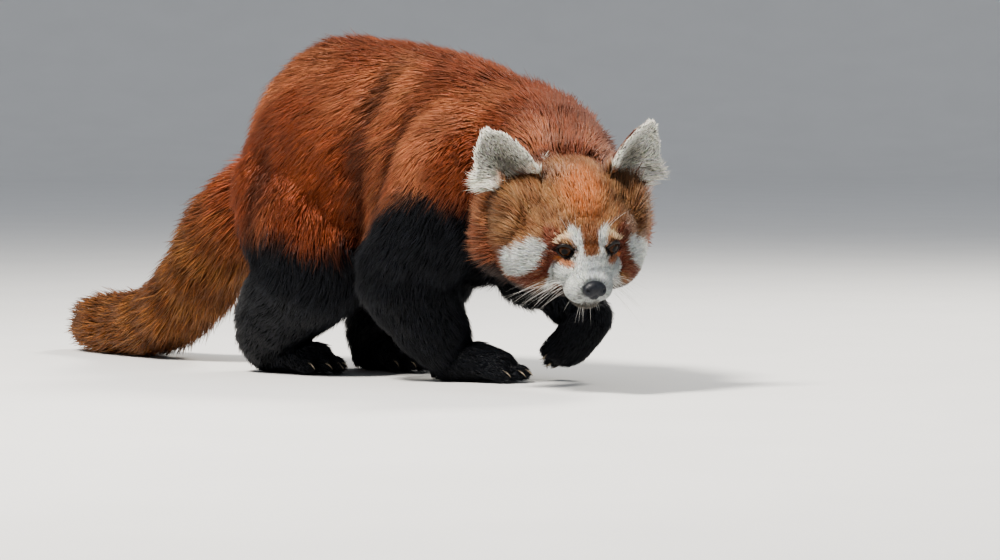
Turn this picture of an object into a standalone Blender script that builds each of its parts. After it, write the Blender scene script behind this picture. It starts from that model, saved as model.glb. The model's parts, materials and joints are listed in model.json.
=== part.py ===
"""A life-size red panda in mid stride, head low and turned to its right, left forepaw lifted.

Metres, +Z up, +X the way the body faces, +Y its left. Every place below is in the pose's own
axes, with x = y = 0 under the middle of the trunk; the last step centres the whole on the origin.
"""

import math
import random

import bmesh
import bpy
import numpy as np
from mathutils import Matrix, Vector
from mathutils.bvhtree import BVHTree

GAP = 0.0003                # what touching pieces keep between them
FLOOR = 0.0
HERE = Matrix.Identity(4)

# Trunk and neck: x, y, height of the middle, then half length, half width and half height.
TRUNK = (
    (-0.120, 0.000, 0.176, 0.030, 0.054, 0.060),
    (-0.092, 0.000, 0.182, 0.040, 0.075, 0.094),
    (-0.055, 0.000, 0.185, 0.048, 0.087, 0.114),
    (0.000, 0.000, 0.186, 0.050, 0.087, 0.113),
    (0.060, 0.000, 0.183, 0.050, 0.083, 0.107),
    (0.110, 0.000, 0.178, 0.045, 0.078, 0.100),
    (0.150, -0.002, 0.176, 0.040, 0.071, 0.087),
)
NECK = (
    (0.150, -0.002, 0.179, 0.060, 0.069, 0.085),
    (0.195, -0.014, 0.171, 0.050, 0.072, 0.077),
    (0.226, -0.034, 0.157, 0.045, 0.074, 0.068),
    (0.248, -0.052, 0.146, 0.042, 0.064, 0.060),
)
NECK_ROOT = ((0.172, -0.006, 0.172), (0.97, -0.20, -0.10))
NECK_END = ((0.226, -0.034, 0.158), (0.86, -0.40, -0.32))

# Limbs: x, y, z and radius, from the trunk down to the wrist or the heel. The bend is the elbow or
# the knee and the joint the wrist or the ankle, as steps along the path. Corners are (y, z) round
# the upper limb, and block is where it starts and ends along the body and how far its ends lean.
FORE_CORNERS = ((0.012, -0.020), (0.012, 0.066), (0.046, 0.088), (0.072, 0.190), (0.140, 0.190), (0.140, -0.020))
HIND_CORNERS = ((0.012, -0.020), (0.012, 0.064), (0.046, 0.088), (0.074, 0.200), (0.140, 0.200), (0.140, -0.020))
LIMBS = {
    "foreleg_right": {
        "path": (
            (0.118, -0.040, 0.178, 0.062),
            (0.095, -0.056, 0.132, 0.055),
            (0.074, -0.058, 0.095, 0.046),
            (0.084, -0.050, 0.062, 0.037),
            (0.098, -0.041, 0.034, 0.029),
        ),
        "bend": 2.1, "joint": 3.45, "corners": FORE_CORNERS, "block": (0.026, 0.168, 0.15),
        "paw": {"heel": (0.098, -0.038, FLOOR), "yaw": 22.0, "hang": 0.0, "reach": 0.078, "width": 0.044},
    },
    "foreleg_left": {
        "path": (
            (0.118, 0.040, 0.178, 0.060),
            (0.118, 0.055, 0.138, 0.052),
            (0.124, 0.055, 0.104, 0.043),
            (0.156, 0.046, 0.091, 0.033),
            (0.181, 0.036, 0.072, 0.029),
        ),
        "bend": 2.0, "joint": 3.60, "corners": FORE_CORNERS, "block": (0.026, 0.168, 0.15),
        "paw": {"heel": (0.184, 0.034, 0.068), "yaw": 5.0, "hang": 118.0, "reach": 0.060, "width": 0.054},
    },
    "hindleg_right": {
        "path": (
            (-0.080, -0.032, 0.162, 0.064),
            (-0.052, -0.055, 0.128, 0.062),
            (-0.026, -0.064, 0.096, 0.050),
            (-0.065, -0.057, 0.068, 0.043),
            (-0.091, -0.050, 0.046, 0.037),
            (-0.101, -0.046, 0.028, 0.028),
        ),
        "bend": 2.2, "joint": 4.35, "corners": HIND_CORNERS, "block": (-0.190, 0.022, 0.12),
        "paw": {"heel": (-0.104, -0.045, FLOOR), "yaw": 2.0, "hang": 0.0, "reach": 0.086, "width": 0.046},
    },
    "hindleg_left": {
        "path": (
            (-0.075, 0.032, 0.162, 0.066),
            (-0.042, 0.055, 0.128, 0.062),
            (-0.010, 0.064, 0.096, 0.050),
            (-0.030, 0.056, 0.068, 0.043),
            (-0.045, 0.047, 0.046, 0.036),
            (-0.052, 0.041, 0.028, 0.027),
        ),
        "bend": 2.2, "joint": 4.35, "corners": HIND_CORNERS, "block": (-0.190, 0.026, 0.12),
        "paw": {"heel": (-0.058, 0.040, FLOOR), "yaw": -12.0, "hang": 0.0, "reach": 0.086, "width": 0.046},
    },
}
TOES = 5
LOOKS = {
    "torso": ((0.290, 0.066, 0.020), 0.85),
    "neck": ((0.300, 0.080, 0.026), 0.85),
    "head": ((0.340, 0.165, 0.068), 0.85),
    "ear": ((0.620, 0.590, 0.530), 0.85),
    "nose": ((0.012, 0.013, 0.016), 0.35),
    "eye": ((0.020, 0.010, 0.006), 0.08),
    "foreleg_upper": ((0.120, 0.030, 0.014), 0.85),
    "hindleg_upper": ((0.260, 0.060, 0.020), 0.85),
    "foreleg_lower": ((0.016, 0.013, 0.013), 0.80),
    "hindleg_lower": ((0.016, 0.013, 0.013), 0.80),
    "forepaw": ((0.014, 0.012, 0.012), 0.80),
    "hindpaw": ((0.014, 0.012, 0.012), 0.80),
    "tail": ((0.330, 0.125, 0.040), 0.85),
}
CLAW = {"length": 0.014, "width": 0.0034, "height": 0.0036}

# Tail: x, y, z and the radius out to the tips of its locks. The core is a share of that.
TAIL = (
    (-0.142, 0.000, 0.165, 0.036),
    (-0.172, 0.003, 0.146, 0.043),
    (-0.205, 0.008, 0.119, 0.046),
    (-0.246, 0.017, 0.081, 0.043),
    (-0.298, 0.030, 0.047, 0.037),
    (-0.354, 0.045, 0.032, 0.032),
    (-0.410, 0.060, 0.028, 0.028),
    (-0.470, 0.075, 0.022, 0.012),
)
TAIL_CORE = 0.60
TAIL_LOCKS = {"rows": 10, "around": 7, "length": 0.068, "height": 0.0045, "sink": 0.006}

# Head: its place, how it is turned, and its forms in its own axes (nose along +x).
HEAD_PLACE = (0.265, -0.070, 0.133)
HEAD_YAW, HEAD_PITCH, HEAD_ROLL = -33.0, 28.0, 3.0
HEAD_TRIANGLES = 1750
HEAD_FORMS = (
    # x, y, z, half length, half width, half height
    (-0.008, 0.000, 0.010, 0.056, 0.054, 0.049),    # cranium
    (0.010, 0.032, -0.010, 0.040, 0.031, 0.037),    # cheeks
    (0.010, -0.032, -0.010, 0.040, 0.031, 0.037),
    (-0.022, 0.041, -0.006, 0.033, 0.033, 0.045),   # ruff behind the cheeks, up to the ears
    (-0.022, -0.041, -0.006, 0.033, 0.033, 0.045),
    (0.016, 0.020, 0.008, 0.036, 0.032, 0.034),     # temples
    (0.016, -0.020, 0.008, 0.036, 0.032, 0.034),
    (0.030, 0.000, 0.010, 0.027, 0.033, 0.025),     # forehead
    (0.043, 0.000, 0.003, 0.020, 0.024, 0.017),     # bridge
    (0.008, 0.000, -0.028, 0.040, 0.034, 0.026),    # throat
    (0.038, 0.000, -0.007, 0.030, 0.030, 0.024),    # root of the muzzle
    (0.056, 0.000, -0.014, 0.018, 0.020, 0.016),    # muzzle
    (0.058, 0.009, -0.020, 0.014, 0.012, 0.011),    # whisker pads
    (0.058, -0.009, -0.020, 0.014, 0.012, 0.011),
    (0.046, 0.000, -0.031, 0.021, 0.015, 0.009),    # chin
)
EYE = {"x": 0.0450, "y": 0.0185, "z": 0.0120, "radius": 0.0075, "turn": 24.0, "down": 0.0,
       "opening": 0.0140, "height": 0.0105}
MOUTH = ((0.0150, -0.0240), (0.0110, -0.0262), (0.0060, -0.0262), (0.0000, -0.0240),
         (-0.0060, -0.0262), (-0.0110, -0.0262), (-0.0150, -0.0240))
NOSE_FORMS = (
    (0.0735, 0.0000, -0.0110, 0.0065, 0.0090, 0.0060),
    (0.0740, 0.0045, -0.0125, 0.0060, 0.0055, 0.0055),
    (0.0740, -0.0045, -0.0125, 0.0060, 0.0055, 0.0055),
    (0.0730, 0.0000, -0.0165, 0.0055, 0.0050, 0.0050),
)
EAR = {"x": -0.012, "y": 0.047, "z": 0.036, "height": 0.056, "width": 0.054, "cup": 0.015, "thick": 0.0060,
       "turn": 25.0, "nod": -8.0, "lean": 35.0}
FRINGE = {"length": 0.022, "width": 0.010, "height": 0.0030}
RUFF = {"rows": ((0.020, 5, -58, 6), (0.000, 6, -64, 20), (-0.018, 6, -60, 28)),
        "length": 0.032, "width": 0.018, "height": 0.0040, "sink": 0.0045}


def empty_scene():
    for obj in list(bpy.data.objects):
        bpy.data.objects.remove(obj)


def spun(yaw, pitch=0.0, roll=0.0):
    """Turned left by yaw, nose down by pitch, left side up by roll, in degrees."""
    return (
        Matrix.Rotation(math.radians(yaw), 4, "Z")
        @ Matrix.Rotation(math.radians(pitch), 4, "Y")
        @ Matrix.Rotation(math.radians(roll), 4, "X")
    )


def smooth_path(stations, count):
    """The stations joined by one smooth curve, read at evenly spaced steps."""
    rows = np.array(stations, float)
    rows = np.vstack((2 * rows[0] - rows[1], rows, 2 * rows[-1] - rows[-2]))
    read = []
    for step in np.linspace(0, len(stations) - 1, count):
        i = min(int(step), len(stations) - 2)
        t = step - i
        a, b, c, d = rows[i : i + 4]
        read.append(
            0.5 * (2 * b + (c - a) * t + (2 * a - 5 * b + 4 * c - d) * t * t + (3 * b - a - 3 * c + d) * t**3)
        )
    return np.array(read)


def new_object(name, bm):
    mesh = bpy.data.meshes.new(name)
    bm.to_mesh(mesh)
    bm.free()
    obj = bpy.data.objects.new(name, mesh)
    bpy.context.scene.collection.objects.link(obj)
    return obj


def apply_modifiers(obj):
    graph = bpy.context.evaluated_depsgraph_get()
    made = bpy.data.meshes.new_from_object(obj.evaluated_get(graph))
    obj.modifiers.clear()
    obj.data = made


def beads(forms, frame):
    """One mesh of overlapping ellipsoids: x, y, z, then one radius or three half sizes."""
    bm = bmesh.new()
    bmesh.ops.create_icosphere(bm, subdivisions=4, radius=1.0)
    ball = np.array([vert.co for vert in bm.verts])
    sides = np.array([[vert.index for vert in face.verts] for face in bm.faces])
    bm.free()
    turn = np.array(frame.to_3x3())
    points, faces = [], []
    for form in forms:
        size = form[3:] if len(form) == 6 else form[3:4] * 3
        points.append((ball * size + form[:3]) @ turn.T + frame.translation)
        faces.append(sides + len(ball) * len(faces))
    return mesh_of(np.vstack(points), np.vstack(faces))


def mesh_of(points, faces):
    mesh = bpy.data.meshes.new("made")
    mesh.from_pydata([tuple(p) for p in points], [], [tuple(int(i) for i in f) for f in faces])
    return mesh


def faced(obj):
    """The closed object with all its faces turned outward, in triangles."""
    bm = bmesh.new()
    bm.from_mesh(obj.data)
    bmesh.ops.triangulate(bm, faces=bm.faces)
    bmesh.ops.recalc_face_normals(bm, faces=bm.faces)
    if bm.calc_volume(signed=True) < 0:
        bmesh.ops.reverse_faces(bm, faces=bm.faces)
    bm.to_mesh(obj.data)
    bm.free()
    return obj


def object_of(name, mesh):
    obj = bpy.data.objects.new(name, mesh)
    bpy.context.scene.collection.objects.link(obj)
    return obj


def apply_modifiers(obj):
    graph = bpy.context.evaluated_depsgraph_get()
    made = bpy.data.meshes.new_from_object(obj.evaluated_get(graph))
    obj.modifiers.clear()
    obj.data = made


def fused(name, groups, voxel, smoothing, triangles):
    """The forms of every group grown together into one skin, eased where they meet, then made coarser."""
    bm = bmesh.new()
    for forms, frame in groups:
        bm.from_mesh(beads(forms, frame))
    mesh = bpy.data.meshes.new(name)
    bm.to_mesh(mesh)
    bm.free()
    obj = object_of(name, mesh)
    remesh = obj.modifiers.new("fuse", "REMESH")
    remesh.mode = "VOXEL"
    remesh.voxel_size = voxel
    ease = obj.modifiers.new("ease", "SMOOTH")
    ease.factor = 0.5
    ease.iterations = smoothing
    apply_modifiers(obj)
    thin = obj.modifiers.new("thin", "DECIMATE")
    thin.ratio = triangles / (2 * len(obj.data.polygons))
    apply_modifiers(obj)
    keep_largest(obj)
    return obj


def shells_of(bm):
    """The faces of each separate closed surface."""
    left, shells = set(bm.faces), []
    while left:
        front, shell = [left.pop()], []
        while front:
            face = front.pop()
            shell.append(face)
            for edge in face.edges:
                for near in edge.link_faces:
                    if near in left:
                        left.remove(near)
                        front.append(near)
        shells.append(shell)
    return shells


def signed_volume(faces):
    total = 0.0
    for face in faces:
        first, *others = (loop.vert.co for loop in face.loops)
        for b, c in zip(others, others[1:]):
            total += first.dot(b.cross(c)) / 6
    return total


def keep_largest(obj):
    """Leaves only the largest closed surface of the object, in triangles."""
    bm = bmesh.new()
    bm.from_mesh(obj.data)
    shells = shells_of(bm)
    best = max(shells, key=signed_volume)
    spare = [face for shell in shells if shell is not best for face in shell]
    bmesh.ops.delete(bm, geom=spare, context="FACES")
    bmesh.ops.triangulate(bm, faces=bm.faces)
    bm.to_mesh(obj.data)
    bm.free()


def trim(obj, point, outward):
    """Cuts off what lies past the plane, on the side that outward points to, and closes the cut."""
    bm = bmesh.new()
    bm.from_mesh(obj.data)
    everything = bm.verts[:] + bm.edges[:] + bm.faces[:]
    bmesh.ops.bisect_plane(bm, geom=everything, dist=1e-6, plane_co=point, plane_no=outward, clear_outer=True)
    rim = [edge for edge in bm.edges if edge.is_boundary]
    bmesh.ops.holes_fill(bm, edges=rim, sides=0)
    bmesh.ops.triangulate(bm, faces=bm.faces)
    bm.to_mesh(obj.data)
    bm.free()


def copy_of(obj, name):
    twin = bpy.data.objects.new(name, obj.data.copy())
    bpy.context.scene.collection.objects.link(twin)
    return twin


def split(obj, name, point, outward):
    """Parts the object at a plane. The far side becomes a new object, a gap away."""
    outward = Vector(outward).normalized()
    point = Vector(point)
    far = copy_of(obj, name)
    trim(obj, point - outward * GAP / 2, outward)
    trim(far, point + outward * GAP / 2, -outward)
    keep_largest(obj)
    keep_largest(far)
    return far


def grown(obj, by):
    """A copy with its surface moved out by that much."""
    twin = copy_of(obj, "grown")
    swell = twin.modifiers.new("swell", "DISPLACE")
    swell.strength = by
    swell.mid_level = 0.0
    apply_modifiers(twin)
    return twin


def combine(obj, others, operation, solver="EXACT"):
    """Joins or cuts the object with closed pieces, which are used up."""
    group = bpy.data.collections.new("pieces")
    bpy.context.scene.collection.children.link(group)
    for other in others:
        for home in list(other.users_collection):
            home.objects.unlink(other)
        group.objects.link(other)
    boolean = obj.modifiers.new("combine", "BOOLEAN")
    boolean.operation = operation
    boolean.operand_type = "COLLECTION"
    boolean.collection = group
    boolean.solver = solver
    apply_modifiers(obj)
    for other in list(others):
        bpy.data.objects.remove(other)
    bpy.data.collections.remove(group)
    keep_largest(obj)


def wedge(corners, back, front, slope, side, inset=0.0):
    """A prism across x over (y, z) corners, on one side of the body, its ends leaning by slope."""
    middle = np.array([(abs(y), z) for y, z in corners]).mean(axis=0)
    points = []
    for end, lean, inward in ((back, slope, inset), (front, -slope, -inset)):
        for y, z in corners:
            away = np.array((y, z)) - middle
            y, z = middle + away * (1 - inset / np.linalg.norm(away) * 1.4)
            points.append((end + lean * z + inward, y * side, z))
    count = len(corners)
    faces = [list(range(count))[::-1], list(range(count, 2 * count))]
    faces += [[i, (i + 1) % count, count + (i + 1) % count, count + i] for i in range(count)]
    return faced(object_of("wedge", mesh_of(points, faces)))


def head_frame():
    return Matrix.Translation(HEAD_PLACE) @ spun(HEAD_YAW, HEAD_PITCH, HEAD_ROLL)


def paw_frame(paw):
    return Matrix.Translation(paw["heel"]) @ spun(paw["yaw"], paw["hang"])


def toe_spots(paw):
    """Root and tip of each toe in the paw's own axes, from its right side to its left."""
    spots = []
    for i in range(TOES):
        across = (i - (TOES - 1) / 2) / ((TOES - 1) / 2)
        side = across * paw["width"] * 0.42
        front = paw["reach"] * (1.0 - 0.17 * across * across)
        spots.append((Vector((front - 0.030, side * 0.85, 0.0145)), Vector((front - 0.009, side, 0.0088))))
    return spots


def paw_forms(paw):
    reach, half = paw["reach"], paw["width"] / 2
    palm = smooth_path(
        (
            (0.004, 0.0, 0.019, 0.021, half * 0.88, 0.021),
            (reach * 0.30, 0.0, 0.018, 0.022, half * 0.98, 0.0195),
            (reach * 0.58, 0.0, 0.015, 0.020, half * 1.02, 0.0160),
        ),
        7,
    )
    forms = [tuple(row) for row in palm]
    for root, tip in toe_spots(paw):
        for t in np.linspace(0, 1, 5):
            spot = root.lerp(tip, t)
            forms.append((*spot, 0.0095, 0.0062 + 0.0008 * (1 - t), 0.0100))
    return forms


def tapered(path, across, upward, widths, heights):
    """A closed blade along the path, three sided, that ends in a point."""
    points = []
    for centre, side, top, width, height in zip(path[:-1], across, upward, widths, heights):
        points += [centre - side * width / 2, centre + side * width / 2, centre + top * height]
    points.append(path[-1])
    faces = [(0, 1, 2)]
    rings = len(path) - 1
    for ring in range(rings - 1):
        a, b = 3 * ring, 3 * ring + 3
        for i in range(3):
            j = (i + 1) % 3
            faces += [(a + j, a + i, b + i), (a + j, b + i, b + j)]
    last = 3 * rings - 3
    faces += [(last + (i + 1) % 3, last + i, 3 * rings) for i in range(3)]
    return points, faces


def lock(root, lie, outward, length, width, height, rise, fall, sway=0.0):
    """One flat lock of coat: it leaves the skin at the angle rise and bends back to it by fall."""
    lie = (lie - outward * lie.dot(outward)).normalized()
    across = outward.cross(lie).normalized()
    steps = 5
    path, sides, tops = [root.copy()], [], []
    for i in range(steps):
        t = i / (steps - 1)
        angle = math.radians(rise - fall * t)
        ahead = lie * math.cos(angle) + outward * math.sin(angle) + across * sway * t
        path.append(path[-1] + ahead.normalized() * length / steps)
        sides.append(across)
        tops.append((outward * math.cos(angle) - lie * math.sin(angle)).normalized())
    widths = [width * share for share in (0.80, 1.0, 0.98, 0.80, 0.50)]
    heights = [height * share for share in (1.0, 1.0, 0.9, 0.7, 0.5)]
    points, faces = tapered(path, sides, tops, widths, heights)
    return faced(object_of("lock", mesh_of(points, faces)))


def make_body():
    """Trunk, neck and the upper limbs as one skin, then parted where the limbs and the neck begin."""
    trunk = [tuple(row) for row in smooth_path(TRUNK, 30)]
    neck = [tuple(row) for row in smooth_path(NECK, 14)]
    limbs = []
    for limb in LIMBS.values():
        limbs += limb_beads(limb, 0.0, limb["bend"] + 0.45)
    torso = fused("torso", [(trunk + neck + limbs, HERE)], 0.004, 14, 2500)
    for name, limb in LIMBS.items():
        side = 1 if name.endswith("left") else -1
        upper = copy_of(torso, name.replace("leg", "leg_upper"))
        block = [wedge(limb["corners"], *limb["block"], side, GAP)]
        combine(upper, block, "INTERSECT")
        place, along = limb_place(limb, limb["bend"])
        trim(upper, place - along * GAP / 2, along)
        keep_largest(upper)
    for name, limb in LIMBS.items():
        side = 1 if name.endswith("left") else -1
        combine(torso, [wedge(limb["corners"], *limb["block"], side)], "DIFFERENCE")
    neck = split(torso, "neck", *NECK_ROOT)
    place, along = Vector(NECK_END[0]), Vector(NECK_END[1]).normalized()
    trim(neck, place - along * GAP / 2, along)
    keep_largest(neck)
    return torso, neck


def limb_beads(limb, start, stop):
    rows = smooth_path(limb["path"], 200)
    last = len(limb["path"]) - 1
    count = max(3, int((stop - start) * 6))
    steps = np.linspace(start / last, min(stop / last, 1.0), count) * 199
    return [tuple(rows[int(round(step))]) for step in steps]


def limb_place(limb, step):
    """The point at that step along the limb, and the limb's direction there."""
    rows = smooth_path(limb["path"], 200)
    i = int(round(step / (len(limb["path"]) - 1) * 199))
    near, far = rows[max(i - 8, 0)][:3], rows[min(i + 8, 199)][:3]
    return Vector(rows[i][:3]), Vector(far - near).normalized()


def make_lower_limbs(trunk):
    for name, limb in LIMBS.items():
        last = len(limb["path"]) - 1
        shin = limb_beads(limb, limb["bend"] - 0.4, last)
        lower = fused(name.replace("leg", "leg_lower"), [(shin, HERE)], 0.003, 8, 240)
        place, along = limb_place(limb, limb["bend"])
        trim(lower, place + along * GAP / 2, -along)
        place, along = limb_place(limb, limb["joint"])
        trim(lower, place - along * GAP / 2, along)
        keep_largest(lower)
        for near in trunk:
            combine(lower, [grown(near, 3 * GAP)], "DIFFERENCE")
        paw = limb["paw"]
        frame = paw_frame(paw)
        end = limb_beads(limb, limb["joint"] - 0.35, last)
        foot = fused(name.replace("leg", "paw"), [(paw_forms(paw), frame), (end, HERE)], 0.0018, 5, 320)
        trim(foot, place + along * GAP / 2, -along)
        if not paw["hang"]:
            trim(foot, (0, 0, FLOOR), (0, 0, -1))
        keep_largest(foot)
        claws = [claw(paw, frame, root, tip) for root, tip in toe_spots(paw)]
        combine(foot, claws, "UNION")


def claw(paw, frame, root, tip):
    """A curved claw from the end of a toe."""
    turn = frame.to_3x3()
    ahead = (tip - root)
    ahead.z = 0
    ahead = (turn @ ahead).normalized()
    up = (turn @ Vector((0, 0, 1))).normalized()
    across = up.cross(ahead).normalized()
    start = frame @ (tip + Vector((0.000, 0, 0.0005)))
    path, sides, tops = [start], [], []
    steps = 4
    for i in range(steps):
        angle = math.radians(24 - 22 * i)
        forward = ahead * math.cos(angle) + up * math.sin(angle)
        path.append(path[-1] + forward * CLAW["length"] / steps)
        sides.append(across)
        tops.append((up * math.cos(angle) - ahead * math.sin(angle)).normalized())
    widths = [CLAW["width"] * share for share in (1.0, 0.95, 0.8, 0.55)]
    heights = [CLAW["height"] * share for share in (1.0, 0.95, 0.8, 0.55)]
    points, faces = tapered(path, sides, tops, widths, heights)
    return faced(object_of("claw", mesh_of(points, faces)))


def surface_of(obj):
    """A tree that finds the object's surface."""
    bm = bmesh.new()
    bm.from_mesh(obj.data)
    tree = BVHTree.FromBMesh(bm)
    bm.free()
    return tree


def ball(frame, radius):
    """A round ball with its poles on the frame's x axis."""
    bm = bmesh.new()
    place = frame @ Matrix.Rotation(math.radians(90), 4, "Y")
    bmesh.ops.create_uvsphere(bm, u_segments=12, v_segments=7, radius=radius, matrix=place)
    mesh = bpy.data.meshes.new("ball")
    bm.to_mesh(mesh)
    bm.free()
    return faced(object_of("ball", mesh))


def prism(outline, frame, near, far):
    """A flat outline of (y, z) points carried along the frame's x axis."""
    count = len(outline)
    points = [frame @ Vector((x, y, z)) for x in (near, far) for y, z in outline]
    faces = [list(range(count))[::-1], list(range(count, 2 * count))]
    faces += [[i, (i + 1) % count, count + (i + 1) % count, count + i] for i in range(count)]
    return faced(object_of("prism", mesh_of(points, faces)))


def tube(path, radius, sides=6):
    """A closed round rod along the path."""
    points, faces = [], []
    for i, place in enumerate(path):
        ahead = (path[min(i + 1, len(path) - 1)] - path[max(i - 1, 0)]).normalized()
        across = ahead.cross(Vector((0.3, 0.2, 0.93))).normalized()
        up = across.cross(ahead)
        thick = radius * (0.55 if i in (0, len(path) - 1) else 1.0)
        for k in range(sides):
            turn = 2 * math.pi * k / sides
            points.append(place + (across * math.cos(turn) + up * math.sin(turn)) * thick)
    for i in range(len(path) - 1):
        a, b = i * sides, (i + 1) * sides
        for k in range(sides):
            j = (k + 1) % sides
            faces += [(a + k, a + j, b + j), (a + k, b + j, b + k)]
    faces += [tuple(range(sides))[::-1], tuple(range((len(path) - 1) * sides, len(path) * sides))]
    return faced(object_of("tube", mesh_of(points, faces)))


def eye_frame(side):
    """The eye's place, its x axis the way it looks."""
    return head_frame() @ Matrix.Translation((EYE["x"], EYE["y"] * side, EYE["z"])) @ spun(EYE["turn"] * side, EYE["down"])


def lid_outline():
    """The almond between the lids, inner corner lower than the outer."""
    outline = []
    for i in range(12):
        turn = 2 * math.pi * i / 12
        y, z = math.cos(turn) * EYE["opening"] / 2, math.sin(turn) * EYE["height"] / 2
        pinch = abs(math.cos(turn)) ** 3
        outline.append((y, z * (1 - 0.35 * pinch)))
    return outline


def make_head(neck):
    frame = head_frame()
    forms = list(HEAD_FORMS)
    for side in (1, -1):
        forms.append((EYE["x"] - 0.001, EYE["y"] * side, EYE["z"], EYE["radius"] + 0.0026))
    nape = [tuple(row) for row in smooth_path(NECK, 14)[8:]]
    head = fused("head", [(forms, frame), (nape, HERE)], 0.002, 8, HEAD_TRIANGLES)
    place, along = Vector(NECK_END[0]), Vector(NECK_END[1]).normalized()
    trim(head, place + along * GAP / 2, -along)
    keep_largest(head)
    skin = surface_of(head)
    turn = frame.to_3x3()
    locks = ruff(frame, turn, skin)
    if locks:
        combine(head, locks, "UNION", "MANIFOLD")
        combine(head, [grown(neck, GAP * 0.7)], "DIFFERENCE", "MANIFOLD")
    for side, name in ((1, "left"), (-1, "right")):
        look = eye_frame(side)
        combine(head, [prism(lid_outline(), look, 0.0005, 0.03)], "DIFFERENCE")
        combine(head, [ball(look, EYE["radius"] + GAP)], "DIFFERENCE")
        eye = ball(look, EYE["radius"])
        eye.name = "eye_" + name
    mouth = []
    for y, z in MOUTH:
        start = frame @ Vector((0.12, y, z))
        hit = skin.ray_cast(start, turn @ Vector((-1, 0, 0)))[0]
        mouth.append(hit)
    combine(head, [tube(mouth, 0.0010)], "DIFFERENCE")
    return head


def ruff(frame, turn, skin):
    """Locks over each cheek, from under the ear to the jaw, lying back and down."""
    draw = random.Random(7)
    locks = []
    for side in (1, -1):
        for row, (x, count, low, high) in enumerate(RUFF["rows"]):
            for i in range(count):
                angle = math.radians(low + (high - low) * (i + 0.5 * (row % 2)) / count + draw.uniform(-3, 3))
                away = Vector((0, math.cos(angle) * side, math.sin(angle)))
                centre = frame @ Vector((x, 0, -0.004))
                hit, outward, _, _ = skin.ray_cast(centre + turn @ away * 0.12, turn @ -away)
                lie = turn @ Vector((-1.0, 0.25 * side, -0.45 - 0.3 * math.sin(angle)))
                size = RUFF["length"] * draw.uniform(0.85, 1.15)
                root = hit - outward * RUFF["sink"]
                wide = RUFF["width"] * draw.uniform(0.9, 1.1)
                locks.append(lock(root, lie, outward, size, wide, RUFF["height"], 24, 36, draw.uniform(-0.25, 0.25)))
    return locks


def make_nose(head):
    frame = head_frame()
    nose = fused("nose", [(NOSE_FORMS, frame)], 0.0006, 4, 170)
    for side in (1, -1):
        path = [frame @ Vector((0.0845 - 0.004 * t, (0.0042 + 0.0016 * t) * side, -0.0125 + 0.001 * t)) for t in (0, 1, 2)]
        combine(nose, [tube(path, 0.0015, 8)], "DIFFERENCE")
    combine(nose, [grown(head, GAP)], "DIFFERENCE")
    return nose


def make_ear(name, side, head):
    """A cupped leaf that opens forward and outward, with a fringe at its foot."""
    turn = spun(EAR["turn"] * side, EAR["nod"], EAR["lean"] * -side)
    place = head_frame() @ Matrix.Translation((EAR["x"], EAR["y"] * side, EAR["z"])) @ turn
    rows, columns = 7, 9
    front, rear = [], []
    for j in range(rows):
        rise = -0.22 + 1.22 * j / (rows - 1)
        half = EAR["width"] / 2 * max(0.24, (1 - max(rise, 0) ** 2.5) ** 0.60) * (1 + 1.5 * min(rise, 0))
        for i in range(columns):
            across = -1 + 2 * i / (columns - 1)
            hollow = EAR["cup"] * (1 - across * across) * (1 - 0.75 * max(rise, 0))
            curl = 0.006 * across * across * (1 - max(rise, 0))
            thick = EAR["thick"] * (1 - 0.65 * abs(across) ** 2) * (1 - 0.4 * max(rise, 0))
            spot = Vector((-hollow + curl, half * across, rise * EAR["height"]))
            front.append(place @ spot)
            rear.append(place @ (spot - Vector((thick, 0, 0))))
    faces = []
    back = len(front)
    for j in range(rows - 1):
        for i in range(columns - 1):
            a, b = j * columns + i, (j + 1) * columns + i
            faces += [(a, a + 1, b + 1), (a, b + 1, b)]
            faces += [(back + a, back + b + 1, back + a + 1), (back + a, back + b, back + b + 1)]
    rim = [i for i in range(columns)]
    rim += [j * columns + columns - 1 for j in range(1, rows)]
    rim += [(rows - 1) * columns + i for i in range(columns - 2, -1, -1)]
    rim += [j * columns for j in range(rows - 2, 0, -1)]
    for a, b in zip(rim, rim[1:] + rim[:1]):
        faces += [(a, back + b, b), (a, back + a, back + b)]
    ear = faced(object_of(name, mesh_of(front + rear, faces)))
    draw = random.Random(5)
    face, fringe = place.to_3x3(), []
    # Up across the cup from its foot, then out and down past the outer edge.
    for across, rise, lie, outward in (
        (-0.50, 0.04, (0.45, -0.25, 1.0), (1.0, 0.0, -0.4)),
        (-0.10, 0.02, (0.45, 0.00, 1.0), (1.0, 0.0, -0.4)),
        (0.30, 0.04, (0.45, 0.15, 1.0), (1.0, 0.0, -0.4)),
        (0.86, 0.06, (0.15, 1.0, -0.75), (0.8, -0.2, 0.0)),
        (0.88, 0.26, (0.15, 1.0, -0.45), (0.8, -0.2, 0.0)),
        (0.86, 0.46, (0.15, 1.0, -0.15), (0.8, -0.2, 0.0)),
    ):
        depth = EAR["cup"] * (across * across - 1) * (1 - 0.75 * rise) - 0.002
        root = place @ Vector((depth, EAR["width"] / 2 * across * side, EAR["height"] * rise))
        lie = face @ Vector((lie[0], lie[1] * side, lie[2]))
        outward = face @ Vector((outward[0], outward[1] * side, outward[2])).normalized()
        size = FRINGE["length"] * draw.uniform(0.85, 1.15)
        fringe.append(lock(root, lie, outward, size, FRINGE["width"], FRINGE["height"], 14, 20))
    combine(ear, fringe, "UNION", "MANIFOLD")
    combine(ear, [grown(head, GAP)], "DIFFERENCE", "MANIFOLD")
    return ear


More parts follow.
